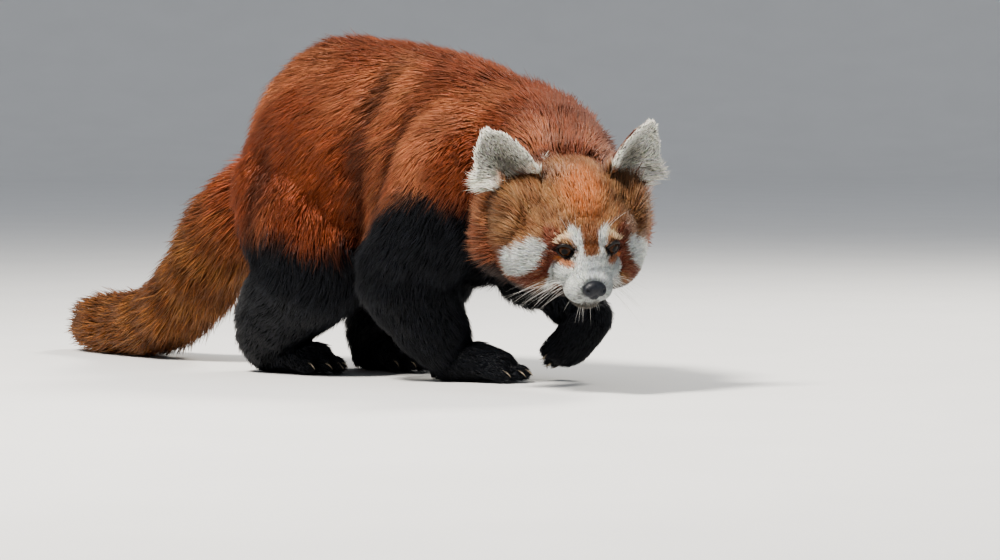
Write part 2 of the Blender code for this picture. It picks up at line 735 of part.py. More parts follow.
def make_tail(torso):
    """A core with staggered locks lying back along it, each row over the root of the next."""
    rows = smooth_path(TAIL, 80)
    shift = np.linalg.norm(np.diff(rows[:, :3], axis=0), axis=1)
    run = np.concatenate(((0,), np.cumsum(shift)))
    core_end = run[-1] - 0.030

    def place_at(distance):
        """Middle, outer radius and the two cross directions at that distance along the tail."""
        x, y, z, radius = (np.interp(distance, run, rows[:, axis]) for axis in range(4))
        a, b = (np.array([np.interp(distance + d, run, rows[:, axis]) for axis in range(3)]) for d in (-0.004, 0.004))
        along = Vector(b - a).normalized()
        side = along.cross(Vector((0, 0, 1))).normalized()
        return Vector((x, y, z)), radius, side, side.cross(along)

    def core_radius(distance):
        return place_at(distance)[1] * TAIL_CORE * min(1.0, math.sqrt(max(core_end - distance, 0.0) / 0.03 + 0.1))

    beads_at = np.linspace(0, core_end - 0.004, 40)
    core = [(*place_at(distance)[0], core_radius(distance)) for distance in beads_at]
    tail = fused("tail", [(core, Matrix.Identity(4))], 0.003, 4, 280)
    draw = random.Random(11)
    locks = []
    for row in range(TAIL_LOCKS["rows"]):
        start = (core_end - 0.012) * row / (TAIL_LOCKS["rows"] - 1)
        for k in range(TAIL_LOCKS["around"]):
            turn = 2 * math.pi * (k + 0.5 * (row % 2) + draw.uniform(-0.08, 0.08)) / TAIL_LOCKS["around"]
            length = TAIL_LOCKS["length"] * draw.uniform(0.92, 1.10)
            length = min(length, run[-1] - 0.002 - start + draw.uniform(-0.006, 0.0))
            locks.append(tail_lock(place_at, core_radius, start, length, turn, draw.uniform(-0.10, 0.10)))
    combine(tail, locks, "UNION", "MANIFOLD")
    trim(tail, (0, 0, FLOOR), (0, 0, -1))
    around = [torso] + [obj for obj in bpy.context.scene.objects if obj.name.startswith("hindleg")]
    for near in around:
        combine(tail, [grown(near, GAP)], "DIFFERENCE", "MANIFOLD")
    return tail


def tail_lock(place_at, core_radius, start, length, turn, sway):
    """One lock along the tail, from inside the core out to the tail's own outline."""
    steps = 5
    inner = core_radius(start) - TAIL_LOCKS["sink"]
    outer = place_at(start + length)[1]
    path, sides, tops, widths, heights = [], [], [], [], []
    for i in range(steps + 1):
        t = i / steps
        centre, _, side, up = place_at(start + length * t)
        angle = turn + sway * t
        outward = side * math.cos(angle) + up * math.sin(angle)
        radius = inner + (outer - inner) * t ** 0.85
        path.append(centre + outward * radius)
        sides.append(outward.cross(side.cross(up)).normalized())
        tops.append(outward)
        room = 2 * math.pi * radius / TAIL_LOCKS["around"]
        widths.append(room * (0.94, 0.94, 0.92, 0.80, 0.50, 0.0)[i])
        heights.append(TAIL_LOCKS["height"] * (1.0, 1.0, 0.9, 0.75, 0.5, 0.0)[i])
    points, faces = tapered(path, sides, tops, widths, heights)
    return faced(object_of("lock", mesh_of(points, faces)))


def painted():
    """Each object its own plain material."""
    for obj in bpy.context.scene.objects:
        kind = next(name for name in LOOKS if obj.name.startswith(name))
        colour, roughness = LOOKS[kind]
        material = bpy.data.materials.new(obj.name)
        material.use_nodes = True
        shader = material.node_tree.nodes["Principled BSDF"]
        shader.inputs["Base Color"].default_value = (*colour, 1.0)
        shader.inputs["Roughness"].default_value = roughness
        obj.data.materials.clear()
        obj.data.materials.append(material)


def centred():
    """Moves everything so that the origin is under the middle of its box."""
    objects = list(bpy.context.scene.objects)
    points = np.array([vert.co for obj in objects for vert in obj.data.vertices])
    low, high = points.min(axis=0), points.max(axis=0)
    shift = Vector((-(low[0] + high[0]) / 2, -(low[1] + high[1]) / 2, -low[2]))
    for obj in objects:
        obj.data.transform(Matrix.Translation(shift))


def main():
    empty_scene()
    torso, neck = make_body()
    make_lower_limbs((torso, neck))
    head = make_head(neck)
    make_nose(head)
    for side, name in ((1, "ear_left"), (-1, "ear_right")):
        make_ear(name, side, head)
    make_tail(torso)
    painted()
    centred()


main()
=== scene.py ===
import json
from math import cos, pi, radians, sin

import bmesh
import bpy
import numpy as np
from mathutils import Matrix, Vector, kdtree
from mathutils.bvhtree import BVHTree

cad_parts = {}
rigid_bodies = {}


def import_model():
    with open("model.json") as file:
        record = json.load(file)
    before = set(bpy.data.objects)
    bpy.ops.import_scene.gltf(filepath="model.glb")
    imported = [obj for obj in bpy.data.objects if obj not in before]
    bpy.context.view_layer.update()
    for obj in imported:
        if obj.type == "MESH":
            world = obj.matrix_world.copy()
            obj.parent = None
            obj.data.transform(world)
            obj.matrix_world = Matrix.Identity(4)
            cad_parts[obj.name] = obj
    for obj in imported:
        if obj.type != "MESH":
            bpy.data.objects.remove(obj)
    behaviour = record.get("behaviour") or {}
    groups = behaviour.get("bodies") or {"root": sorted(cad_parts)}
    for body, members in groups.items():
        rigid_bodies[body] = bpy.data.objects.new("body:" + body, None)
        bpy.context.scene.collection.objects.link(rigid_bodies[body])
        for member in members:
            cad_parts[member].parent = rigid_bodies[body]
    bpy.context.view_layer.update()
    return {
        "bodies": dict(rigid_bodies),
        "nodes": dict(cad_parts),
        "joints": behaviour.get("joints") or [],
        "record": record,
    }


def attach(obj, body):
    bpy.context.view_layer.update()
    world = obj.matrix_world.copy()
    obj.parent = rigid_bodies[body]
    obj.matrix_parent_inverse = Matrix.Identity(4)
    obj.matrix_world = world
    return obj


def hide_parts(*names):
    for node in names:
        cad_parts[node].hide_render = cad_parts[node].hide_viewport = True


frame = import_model()

# Every place below is in the pose's own axes, in metres: the body faces +x, +y is its left,
# and x = y = 0 lies under the middle of the trunk. The last step of each piece moves it home.

# Trunk and neck: x, y, height of the middle, then half length, half width and half height.
body = {
    "trunk": (
        (-0.120, 0.000, 0.176, 0.030, 0.054, 0.060),
        (-0.092, 0.000, 0.182, 0.040, 0.075, 0.094),
        (-0.055, 0.000, 0.185, 0.048, 0.087, 0.114),
        (0.000, 0.000, 0.186, 0.050, 0.087, 0.113),
        (0.060, 0.000, 0.183, 0.050, 0.083, 0.107),
        (0.110, 0.000, 0.178, 0.045, 0.078, 0.100),
        (0.150, -0.002, 0.176, 0.040, 0.071, 0.087),
    ),
    "neck": (
        (0.150, -0.002, 0.179, 0.060, 0.069, 0.085),
        (0.195, -0.014, 0.171, 0.050, 0.072, 0.077),
        (0.226, -0.034, 0.157, 0.045, 0.074, 0.068),
        (0.248, -0.052, 0.146, 0.042, 0.064, 0.060),
    ),
    # how deep the coat is over each part, which is how far the skin lies inside the solids
    "depth": {"trunk": 0.0085, "neck": 0.0085, "upper": 0.0070, "lower": 0.0035, "paw": 0.0030},
}

# Limbs: x, y, z and radius from the trunk to the wrist or heel, then the paw. The station of the
# bend ends the upper limb, and sink is how much thinner the skin is there than the solid.
limbs = {
    "foreRight": {
        "path": ((0.118, -0.040, 0.178, 0.062), (0.095, -0.056, 0.132, 0.055), (0.074, -0.058, 0.095, 0.046),
                 (0.084, -0.050, 0.062, 0.037), (0.098, -0.041, 0.034, 0.029)),
        "bend": 2.1, "heel": (0.098, -0.038, 0.0), "yaw": 22.0, "hang": 0.0, "reach": 0.078, "width": 0.044,
        "sink": 0.0,
    },
    "foreLeft": {
        "path": ((0.118, 0.040, 0.178, 0.060), (0.118, 0.055, 0.138, 0.052), (0.124, 0.055, 0.104, 0.043),
                 (0.156, 0.046, 0.091, 0.033), (0.181, 0.036, 0.072, 0.029)),
        "bend": 2.0, "heel": (0.184, 0.034, 0.068), "yaw": 5.0, "hang": 118.0, "reach": 0.060, "width": 0.054,
        "sink": 0.0,
    },
    "hindRight": {
        "path": ((-0.080, -0.032, 0.162, 0.064), (-0.052, -0.055, 0.128, 0.062), (-0.026, -0.064, 0.096, 0.050),
                 (-0.065, -0.057, 0.068, 0.043), (-0.091, -0.050, 0.046, 0.037), (-0.101, -0.046, 0.028, 0.028)),
        "bend": 2.2, "heel": (-0.104, -0.045, 0.0), "yaw": 2.0, "hang": 0.0, "reach": 0.086, "width": 0.046,
        "sink": 0.005,
    },
    "hindLeft": {
        "path": ((-0.075, 0.032, 0.162, 0.066), (-0.042, 0.055, 0.128, 0.062), (-0.010, 0.064, 0.096, 0.050),
                 (-0.030, 0.056, 0.068, 0.043), (-0.045, 0.047, 0.046, 0.036), (-0.052, 0.041, 0.028, 0.027)),
        "bend": 2.2, "heel": (-0.058, 0.040, 0.0), "yaw": -12.0, "hang": 0.0, "reach": 0.086, "width": 0.046,
        "sink": 0.005,
    },
}
claws = {"toes": 5, "length": 0.014, "sunk": 0.004, "steps": 11, "rise": 24, "curl": 78, "thickness": 0.0017,
         "sides": 8}

# Tail: x, y, z and the radius out to the tips of the coat. The core is a share of that.
tail = {
    "path": ((-0.142, 0.000, 0.165, 0.036), (-0.172, 0.003, 0.146, 0.043), (-0.205, 0.008, 0.119, 0.046),
             (-0.246, 0.017, 0.081, 0.043), (-0.298, 0.030, 0.047, 0.037), (-0.354, 0.045, 0.032, 0.032),
             (-0.410, 0.060, 0.028, 0.028), (-0.470, 0.075, 0.022, 0.012)),
    "core": 0.60, "ring": 0.046, "coreForms": 57,
}

# Head: its forms in its own axes, nose along +x: place, three half sizes and the coat's depth.
head = {
    "place": (0.265, -0.070, 0.133), "yaw": -33.0, "pitch": 28.0, "roll": 3.0,
    "forms": (
        (-0.008, 0.000, 0.010, 0.056, 0.054, 0.049, 0.0045),    # cranium
        (0.010, 0.032, -0.010, 0.040, 0.031, 0.037, 0.0045),    # cheeks
        (0.010, -0.032, -0.010, 0.040, 0.031, 0.037, 0.0045),
        (-0.022, 0.041, -0.006, 0.033, 0.033, 0.045, 0.0055),   # ruff
        (-0.022, -0.041, -0.006, 0.033, 0.033, 0.045, 0.0055),
        (-0.004, 0.044, 0.006, 0.034, 0.024, 0.036, 0.0060),    # under the ears
        (-0.004, -0.044, 0.006, 0.034, 0.024, 0.036, 0.0060),
        (0.016, 0.020, 0.008, 0.036, 0.032, 0.034, 0.0040),     # temples
        (0.016, -0.020, 0.008, 0.036, 0.032, 0.034, 0.0040),
        (0.030, 0.000, 0.010, 0.027, 0.033, 0.025, 0.0025),     # forehead
        (0.043, 0.000, 0.003, 0.020, 0.024, 0.017, 0.0015),     # bridge
        (0.008, 0.000, -0.028, 0.040, 0.034, 0.026, 0.0060),    # throat
        (0.038, 0.000, -0.007, 0.030, 0.030, 0.024, 0.0015),    # root of the muzzle
        (0.056, 0.000, -0.014, 0.018, 0.020, 0.016, 0.0010),    # muzzle
        (0.058, 0.009, -0.020, 0.014, 0.012, 0.011, 0.0010),    # whisker pads
        (0.058, -0.009, -0.020, 0.014, 0.012, 0.011, 0.0010),
        (0.046, 0.000, -0.031, 0.021, 0.015, 0.009, 0.0010),    # chin
        (0.044, 0.0185, 0.012, 0.0101, 0.0101, 0.0101, 0.0008),  # round the eyes
        (0.044, -0.0185, 0.012, 0.0101, 0.0101, 0.0101, 0.0008),
    ),
    "mouth": ((0.0150, -0.0240), (0.0110, -0.0262), (0.0060, -0.0262), (0.0, -0.0240),
              (-0.0060, -0.0262), (-0.0110, -0.0262), (-0.0150, -0.0240)),
}
eye = {"x": 0.0450, "y": 0.0185, "z": 0.0120, "radius": 0.0075, "turn": 24.0, "opening": 0.0140, "height": 0.0105,
       "pinch": 0.35, "rim": 0.00085}
ear = {"x": -0.012, "y": 0.047, "z": 0.036, "height": 0.056, "width": 0.054, "cup": 0.015, "thick": 0.0060,
       "turn": 25.0, "nod": -8.0, "lean": 35.0}
nose = {
    "forms": ((0.0735, 0.0, -0.0110, 0.0065, 0.0090, 0.0060), (0.0740, 0.0045, -0.0125, 0.0060, 0.0055, 0.0055),
              (0.0740, -0.0045, -0.0125, 0.0060, 0.0055, 0.0055), (0.0730, 0.0, -0.0165, 0.0055, 0.0050, 0.0050)),
    "nostril": 0.0017,
}
skin = {"voxel": 0.0013, "triangles": 150000}
seeds = {"roots": 17, "coat": 23, "pieces": 40, "whiskers": 77}


def turnOf(matrix):
    return np.array(matrix.to_3x3())


def spun(yaw, pitch=0.0, roll=0.0):
    turn = Matrix.Rotation(radians(yaw), 4, "Z") @ Matrix.Rotation(radians(pitch), 4, "Y")
    return turn @ Matrix.Rotation(radians(roll), 4, "X")


headFrame = Matrix.Translation(head["place"]) @ spun(head["yaw"], head["pitch"], head["roll"])
headTurn = turnOf(headFrame)


def eyeFrame(side):
    return headFrame @ Matrix.Translation((eye["x"], eye["y"] * side, eye["z"])) @ spun(eye["turn"] * side)


def earFrame(side):
    turn = spun(ear["turn"] * side, ear["nod"], ear["lean"] * -side)
    return headFrame @ Matrix.Translation((ear["x"], ear["y"] * side, ear["z"])) @ turn


def read(source, key, kind, wide):
    values = np.zeros(len(source) * wide, kind)
    source.foreach_get(key, values)
    return values.reshape(-1, wide)


def meshPoints(mesh, key="co"):
    source = mesh.vertices if key == "co" else mesh.vertex_normals
    return read(source, key, np.float32, 3).astype(float)


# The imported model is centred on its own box, so the right eye tells how far it was moved.
eyeSpots = meshPoints(frame["nodes"]["eye_right"].data)
home = eyeSpots.mean(axis=0) - np.array(eyeFrame(-1).translation)
print("frame loaded, pose moved by", [round(float(value), 4) for value in home])


# ---- small helpers for arrays of points
def unit(rows):
    return rows / np.maximum(np.linalg.norm(rows, axis=-1, keepdims=True), 1e-9)


def spans(rows):
    return np.linalg.norm(rows, axis=-1)


def ease(low, high, value):
    share = np.clip((value - low) / (high - low), 0.0, 1.0)
    return share * share * (3.0 - 2.0 * share)


def ripple(points, size, seed):
    draw = np.random.default_rng(seed)
    total = np.zeros(len(points))
    for _ in range(6):
        way = unit(draw.normal(size=3)) * 2.0 * pi / (size * draw.uniform(0.7, 1.5))
        total += np.sin(points @ way + draw.uniform(0.0, 6.28))
    return np.clip(total / 3.0, -1.0, 1.0)


def smoothPath(stations, count):
    rows = np.array(stations, float)
    rows = np.vstack((2 * rows[0] - rows[1], rows, 2 * rows[-1] - rows[-2]))
    path = []
    for step in np.linspace(0, len(stations) - 1, count):
        i = min(int(step), len(stations) - 2)
        t = step - i
        a, b, c, d = rows[i : i + 4]
        curve = 2 * b + (c - a) * t + (2 * a - 5 * b + 4 * c - d) * t * t + (3 * b - a - 3 * c + d) * t**3
        path.append(0.5 * curve)
    return np.array(path)


def toHead(points):
    return (points - np.array(head["place"])) @ headTurn


def fromHead(points):
    return np.asarray(points, float) @ headTurn.T + np.array(head["place"])


# ---- meshes from arrays
def newObject(name, mesh):
    obj = bpy.data.objects.new(name, mesh)
    bpy.context.scene.collection.objects.link(obj)
    return obj


def softened(mesh):
    mesh.polygons.foreach_set("use_smooth", np.ones(len(mesh.polygons), bool))
    return mesh


def arrayMesh(name, points, faces):
    mesh = bpy.data.meshes.new(name)
    mesh.vertices.add(len(points))
    mesh.vertices.foreach_set("co", np.ascontiguousarray(points, np.float32).ravel())
    mesh.loops.add(faces.size)
    mesh.loops.foreach_set("vertex_index", np.ascontiguousarray(faces, np.int32).ravel())
    mesh.polygons.add(len(faces))
    mesh.polygons.foreach_set("loop_start", np.arange(0, faces.size, faces.shape[1], dtype=np.int32))
    mesh.update(calc_edges=True)
    return softened(mesh)


def faced(mesh):
    bm = bmesh.new()
    bm.from_mesh(mesh)
    bmesh.ops.recalc_face_normals(bm, faces=bm.faces)
    if bm.calc_volume(signed=True) < 0:
        bmesh.ops.reverse_faces(bm, faces=bm.faces)
    bm.to_mesh(mesh)
    bm.free()
    return mesh


def hoopFaces(hoops, around, first=0, closed=False):
    faces = []
    for j in range(hoops if closed else hoops - 1):
        for i in range(around):
            a, b, c, d = (first + (j + up) % hoops * around + (i + on) % around for up in (0, 1) for on in (0, 1))
            faces += [(a, c, d), (a, d, b)]
    return faces


def ballArrays(subdivisions=4):
    bm = bmesh.new()
    bmesh.ops.create_icosphere(bm, subdivisions=subdivisions, radius=1.0)
    points = np.array([vert.co for vert in bm.verts])
    sides = np.array([[vert.index for vert in face.verts] for face in bm.faces])
    bm.free()
    return points, sides


ballPoints, ballSides = ballArrays()


def applied(obj, steps):
    for kind, settings in steps:
        modifier = obj.modifiers.new(kind.title(), kind)
        for key, value in settings.items():
            setattr(modifier, key, value)
    mesh = bpy.data.meshes.new_from_object(obj.evaluated_get(bpy.context.evaluated_depsgraph_get()))
    obj.modifiers.clear()
    obj.data = mesh
    return obj


def smoothing(times):
    return ("SMOOTH", {"factor": 0.5, "iterations": times})


def remesh(voxel):
    return ("REMESH", {"mode": "VOXEL", "voxel_size": voxel, "use_smooth_shade": True})


def fused(name, forms, voxel, times):
    points, sides = [], []
    for form in forms:
        points.append((ballPoints * form["half"]) @ form["turn"].T + form["centre"])
        sides.append(ballSides + len(ballPoints) * len(sides))
    obj = newObject(name, arrayMesh(name, np.vstack(points), np.vstack(sides)))
    return applied(obj, [remesh(voxel), smoothing(times)])


def finished(obj, body="root"):
    obj.data.transform(Matrix.Translation(home))
    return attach(obj, body)


# ---- the forms under the coat, each with the way the hair over it lies
forms = []


def addForms(region, rows, turn, depth, lies):
    here = []
    turn = np.array(turn)
    for row, lie in zip(rows, lies):
        half = np.array(row[3:6] if len(row) >= 6 else (row[3],) * 3, float) - depth
        form = {"region": region, "centre": np.array(row[:3]), "half": np.maximum(half, 0.002), "turn": turn,
                "lie": unit(np.array(lie, float))}
        forms.append(form)
        here.append(form)
    return here


def alongPath(rows):
    return unit(np.gradient(rows[:, :3], axis=0))


straight = np.eye(3)
depth = body["depth"]
trunkPath, neckPath = smoothPath(body["trunk"], 30), smoothPath(body["neck"], 14)
bodyForms = addForms("trunk", trunkPath, straight, depth["trunk"], [(-0.72, 0, -0.70)] * 30)
bodyForms += addForms("neck", neckPath, straight, depth["neck"], -alongPath(neckPath) + np.array((0, 0, -0.55)))
pawForms, toeTips = [], []
for name, limb in limbs.items():
    path = smoothPath(limb["path"], 34)
    flow = alongPath(path)
    share = np.linspace(0, len(limb["path"]) - 1, 34)
    path[:, 3] -= limb["sink"] * ease(limb["bend"] + 1.0, 1.2, share)
    upper = share < limb["bend"]
    bodyForms += addForms(name + "Upper", path[upper], straight, depth["upper"],
                          flow[upper] * 0.6 + np.array((-0.35, 0, -0.6)))
    bodyForms += addForms(name + "Lower", path[~upper], straight, depth["lower"],
                          flow[~upper] + np.array((-0.15, 0, -0.1)))
    pawFrame = Matrix.Translation(limb["heel"]) @ spun(limb["yaw"], limb["hang"])
    reach, half = limb["reach"], limb["width"] / 2
    rows = [tuple(row) for row in smoothPath(((0.004, 0, 0.019, 0.021, half * 0.88, 0.021),
                                              (reach * 0.30, 0, 0.018, 0.022, half * 0.98, 0.0195),
                                              (reach * 0.58, 0, 0.015, 0.020, half * 1.02, 0.0160)), 7)]
    for i in range(claws["toes"]):
        across = (i - 2) / 2
        front, side = reach * (1 - 0.17 * across * across), across * limb["width"] * 0.42
        root, tip = Vector((front - 0.030, side * 0.85, 0.0145)), Vector((front - 0.009, side, 0.0088))
        toeTips.append((pawFrame, root, tip))
        for t in np.linspace(0, 1, 5):
            rows.append((*root.lerp(tip, t), 0.0095, 0.0062 + 0.0008 * (1 - t), 0.0100))
    spots = [(*(pawFrame @ Vector(row[:3])), *row[3:]) for row in rows]
    turn = pawFrame.to_3x3()
    pawForms += addForms(name + "Paw", spots, turn, depth["paw"], [turn @ Vector((1, 0, -0.25))] * len(rows))
tailPath = smoothPath(tail["path"], 60)
tailFlow = alongPath(tailPath)
corePath = tailPath.copy()
corePath[:, 3] *= tail["core"]
tailForms = addForms("tail", corePath[: tail["coreForms"]], straight, 0.0, tailFlow[: tail["coreForms"]])
headRows = [(*fromHead(row[:3]), *(np.array(row[3:6]) - row[6])) for row in head["forms"]]
headForms = addForms("head", headRows, headTurn, 0.0, [(-1, 0, 0)] * len(headRows))
napeForms = [form for form in bodyForms if form["region"] == "neck"][8:]


# ---- the ears, as cupped leaves with a wall thick enough to be fused with the head
def earLeaf(side):
    place = earFrame(side)
    rows, columns = 25, 31
    front, rear = [], []
    for j in range(rows):
        rise = -0.22 + 1.22 * j / (rows - 1)
        half = ear["width"] / 2 * max(0.24, (1 - max(rise, 0) ** 2.5) ** 0.60) * (1 + 1.5 * min(rise, 0)) - 0.0015
        for i in range(columns):
            across = -1 + 2 * i / (columns - 1)
            hollow = ear["cup"] * (1 - across * across) * (1 - 0.75 * max(rise, 0))
            curl = 0.006 * across * across * (1 - max(rise, 0))
            thick = max(0.0028, ear["thick"] * (1 - 0.65 * across**2) * (1 - 0.4 * max(rise, 0)))
            slim = 1 - 0.5 * float(ease(0.36, 0.04, rise)) * (across * side > 0)
            spot = Vector((-hollow + curl - 0.0008, half * across * slim, rise * (ear["height"] - 0.002)))
            front.append(place @ spot)
            rear.append(place @ (spot - Vector((thick, 0, 0))))
    back, faces = len(front), []
    for j in range(rows - 1):
        for i in range(columns - 1):
            a, b = j * columns + i, (j + 1) * columns + i
            faces += [(a, a + 1, b + 1, b), (back + a, back + b, back + b + 1, back + a + 1)]
    rim = list(range(columns)) + [j * columns + columns - 1 for j in range(1, rows)]
    rim += [(rows - 1) * columns + i for i in range(columns - 2, -1, -1)]
    rim += [j * columns for j in range(rows - 2, 0, -1)]
    faces += [(a, back + a, back + b, b) for a, b in zip(rim, rim[1:] + rim[:1])]
    return newObject("ear", faced(arrayMesh("ear", np.array([tuple(p) for p in front + rear]), np.array(faces))))


def joined(objects):
    bm = bmesh.new()
    for obj in objects:
        bm.from_mesh(obj.data)
    mesh = bpy.data.meshes.new("joined")
    bm.to_mesh(mesh)
    bm.free()
    for obj in objects:
        bpy.data.objects.remove(obj)
    return newObject("skin", mesh)


fine = 1.0
skullForms = headForms[:9] + headForms[11:12]
# each part's voxel and how often it is smoothed
skinParts = [fused(*part) for part in (
    ("body", bodyForms, 0.004, 34),
    ("paws", pawForms, 0.0016 * fine, 4),
    ("tail", tailForms, 0.003, 6),
    ("skull", skullForms + napeForms, 0.0020 * fine, 30),
    ("head", headForms + napeForms, 0.0013 * fine, 14),
)]
skinObject = applied(joined(skinParts + [earLeaf(1), earLeaf(-1)]), [remesh(skin["voxel"]), smoothing(3)])
print("skin fused,", len(skinObject.data.vertices), "points")


def formDistance(points, chosen):
    rows = np.empty((len(chosen), len(points)), np.float32)
    for i, form in enumerate(chosen):
        local = ((points - form["centre"]) @ form["turn"]) / form["half"]
        rows[i] = (spans(local) - 1.0) * form["half"].mean()
    return rows


# The head keeps its fine points, and all else is thinned much more.
corners = meshPoints(skinObject.data)
keepFine = ease(0.115, 0.085, spans(corners - np.array(head["place"])))
group = skinObject.vertex_groups.new(name="thin")
share = np.round(1.0 - 0.85 * keepFine, 2)
for value in np.unique(share):
    group.add([int(i) for i in np.nonzero(share == value)[0]], float(value), "REPLACE")
skinObject.data.calc_loop_triangles()
ratio = skin["triangles"] / len(skinObject.data.loop_triangles)
if ratio < 1:
    applied(skinObject, [("DECIMATE", {"ratio": ratio, "vertex_group": "thin", "vertex_group_factor": 1.0})])
print("skin thinned to", len(skinObject.data.vertices), "points")


# ---- sockets, lids and the line of the mouth
def polylineDistance(points, path):
    best = np.full(len(points), 9.0)
    for a, b in zip(path[:-1], path[1:]):
        along = b - a
        t = np.clip((points - a) @ along / (along @ along), 0, 1)
        best = np.minimum(best, spans(points - a - t[:, None] * along))
    return best


def almond(y, z):
    y = y / (eye["opening"] / 2)
    pinch = 1 - eye["pinch"] * np.clip(np.abs(y), 0, 1) ** 3
    return np.sqrt(y * y + (z / (eye["height"] / 2 * pinch)) ** 2)


def localTo(matrix, points):
    return (points - np.array(matrix.translation)) @ turnOf(matrix)


# soft folds down the flank: the height and the place along the body, bottom first, and how strong the
# painted highlight is on the coat ahead of each; the coat along each groove gets painted shade
folds = (
    {"path": ((0.110, 0.026), (0.190, 0.033), (0.270, 0.044)), "depth": 0.0100, "width": 0.0130, "crestHighlight": 0.5},
    {"path": ((0.105, -0.062), (0.140, -0.066), (0.200, -0.072)), "depth": 0.0045, "width": 0.0130, "crestHighlight": 0.0},
    {"path": ((0.125, 0.060), (0.170, 0.073), (0.235, 0.086)), "depth": 0.0060, "width": 0.0120, "crestHighlight": 0.4},
)


def foldShare(points, fold, ahead=0.0):
    rows = np.array(fold["path"])
    x, y, z = (points - np.array((ahead, 0, 0))).T
    ends = ease(rows[0, 0] - 0.015, rows[0, 0] + 0.012, z) * ease(rows[-1, 0] + 0.015, rows[-1, 0] - 0.020, z)
    across = (x - np.interp(z, rows[:, 0], rows[:, 1])) / fold["width"]
    return np.exp(-across * across) * ends * ease(0.015, 0.045, np.abs(y))


corners = meshPoints(skinObject.data)
outward = meshPoints(skinObject.data, "vector")
for fold in folds:
    corners -= outward * (fold["depth"] * foldShare(corners, fold))[:, None]
skinTree = BVHTree.FromPolygons([Vector(p) for p in corners], [tuple(p.vertices) for p in skinObject.data.polygons])
mouthPath = []
for y, z in head["mouth"]:
    hit = skinTree.ray_cast(headFrame @ Vector((0.12, y, z)), headFrame.to_3x3() @ Vector((-1, 0, 0)))[0]
    mouthPath.append(np.array(hit))
for side in (1, -1):
    look = eyeFrame(side)
    local = localTo(look, corners)
    reach = spans(local)
    way = unit(local)
    inside = almond(way[:, 1] * eye["radius"], way[:, 2] * eye["radius"])
    near = (reach < 0.0125) & (way[:, 0] > 0.15)
    # sunk behind the ball between the lids, and clear of it over them
    wanted = np.where(inside < 1.0, eye["radius"] - 0.0014, np.maximum(reach, eye["radius"] + 0.0009))
    moved = np.array(look.translation) + (way * wanted[:, None]) @ turnOf(look).T
    corners[near] = moved[near]
philtrum = [fromHead((0.0745, 0, -0.0195)), fromHead((0.0725, 0, -0.0225)), mouthPath[3]]
crease = np.minimum(polylineDistance(corners, mouthPath), polylineDistance(corners, philtrum) + 0.0004)
corners -= outward * (0.0015 * ease(0.0024, 0.0004, crease))[:, None]
skinObject.data.vertices.foreach_set("co", corners.astype(np.float32).ravel())
skinObject.data.update()


def lipDistance(points):
    return np.minimum(polylineDistance(points, mouthPath), polylineDistance(points, philtrum))


# ---- markings: the same for the skin and the coat
def shade(code):
    values = np.array([int(code[i : i + 2], 16) / 255 for i in (0, 2, 4)])
    return np.where(values <= 0.04045, values / 12.92, ((values + 0.055) / 1.055) ** 2.4)


paint = {key: shade(code) for key, code in {
    "rust": "954c2e", "rustLit": "d88e66", "ridge": "5a2f1e", "black": "0d1118", "throatAndChinShade": "1a1210",
    "tan": "98704a", "brown": "6e4426", "crown": "905432", "forehead": "a65c2c", "stripe": "6a3611",
    "white": "bdc2c0", "tear": "64230f", "underEye": "a05c2c", "cheek": "8f4f34", "bridge": "98a4b2",
    "earWhite": "d8d6cc", "earHollowShade": "585548", "earBack": "5a261a", "patch": "4a1f14", "rim": "100a08",
    "tail": "7c4a22", "tailPale": "94643a", "tailDark": "5e361d", "pale": "e6cfae",
}.items()}


def laid(colour, mask, tone, strength=1.0):
    mask = np.clip(mask * strength, 0, 1)[:, None]
    return colour + mask * (paint[tone] - colour)


def layered(colour, *layers):
    for layer in layers:
        colour = laid(colour, *layer)
    return colour


def blob(q, centre, half, soft=0.35):
    mirrored = q.copy()
    mirrored[:, 1] = np.abs(mirrored[:, 1])
    far = spans((mirrored - np.array(centre)) / np.array(half))
    return ease(1 + soft, 1 - soft, far)


# bounds of the face's patches: height on the head, then how far out from the middle
face = {
    "muzzle": ((-0.030, 0.034), (-0.0094, 0.0325), (0.0041, 0.0258), (0.0080, 0.0200), (0.0110, 0.0120)),
    "cheekIn": ((-0.0260, 0.0560), (-0.0160, 0.0500), (-0.0091, 0.0454), (0.0069, 0.0372), (0.0185, 0.0362)),
    "cheekOut": ((-0.0270, 0.0570), (-0.0146, 0.0640), (-0.0091, 0.0620), (0.0049, 0.0545), (0.0170, 0.0420),
                 (0.0210, 0.0350)),
    # lines across the face: how far out, then the height
    "tear": ((0.0305, 0.0230), (0.0318, 0.0100), (0.0330, 0.0010), (0.0385, -0.0080), (0.0450, -0.0150),
             (0.0510, -0.0230)),
    # patches of the brow: how far out, the height, then two half sizes
    "brow": ((0.0130, 0.0258, 0.0052, 0.0036), (0.0110, 0.0222, 0.0044, 0.0046), (0.0096, 0.0175, 0.0032, 0.0046),
             (0.0098, 0.0130, 0.0026, 0.0036)),
    "arch": ((0.0165, 0.0250), (0.0220, 0.0240), (0.0285, 0.0205)),
}


def bound(name, z):
    rows = np.array(face[name])
    return np.interp(z, rows[:, 0], rows[:, 1])


def patch(a, z, centre, half, soft=0.3):
    return ease(1 + soft, 1 - soft, np.hypot((a - centre[0]) / half[0], (z - centre[1]) / half[1]))


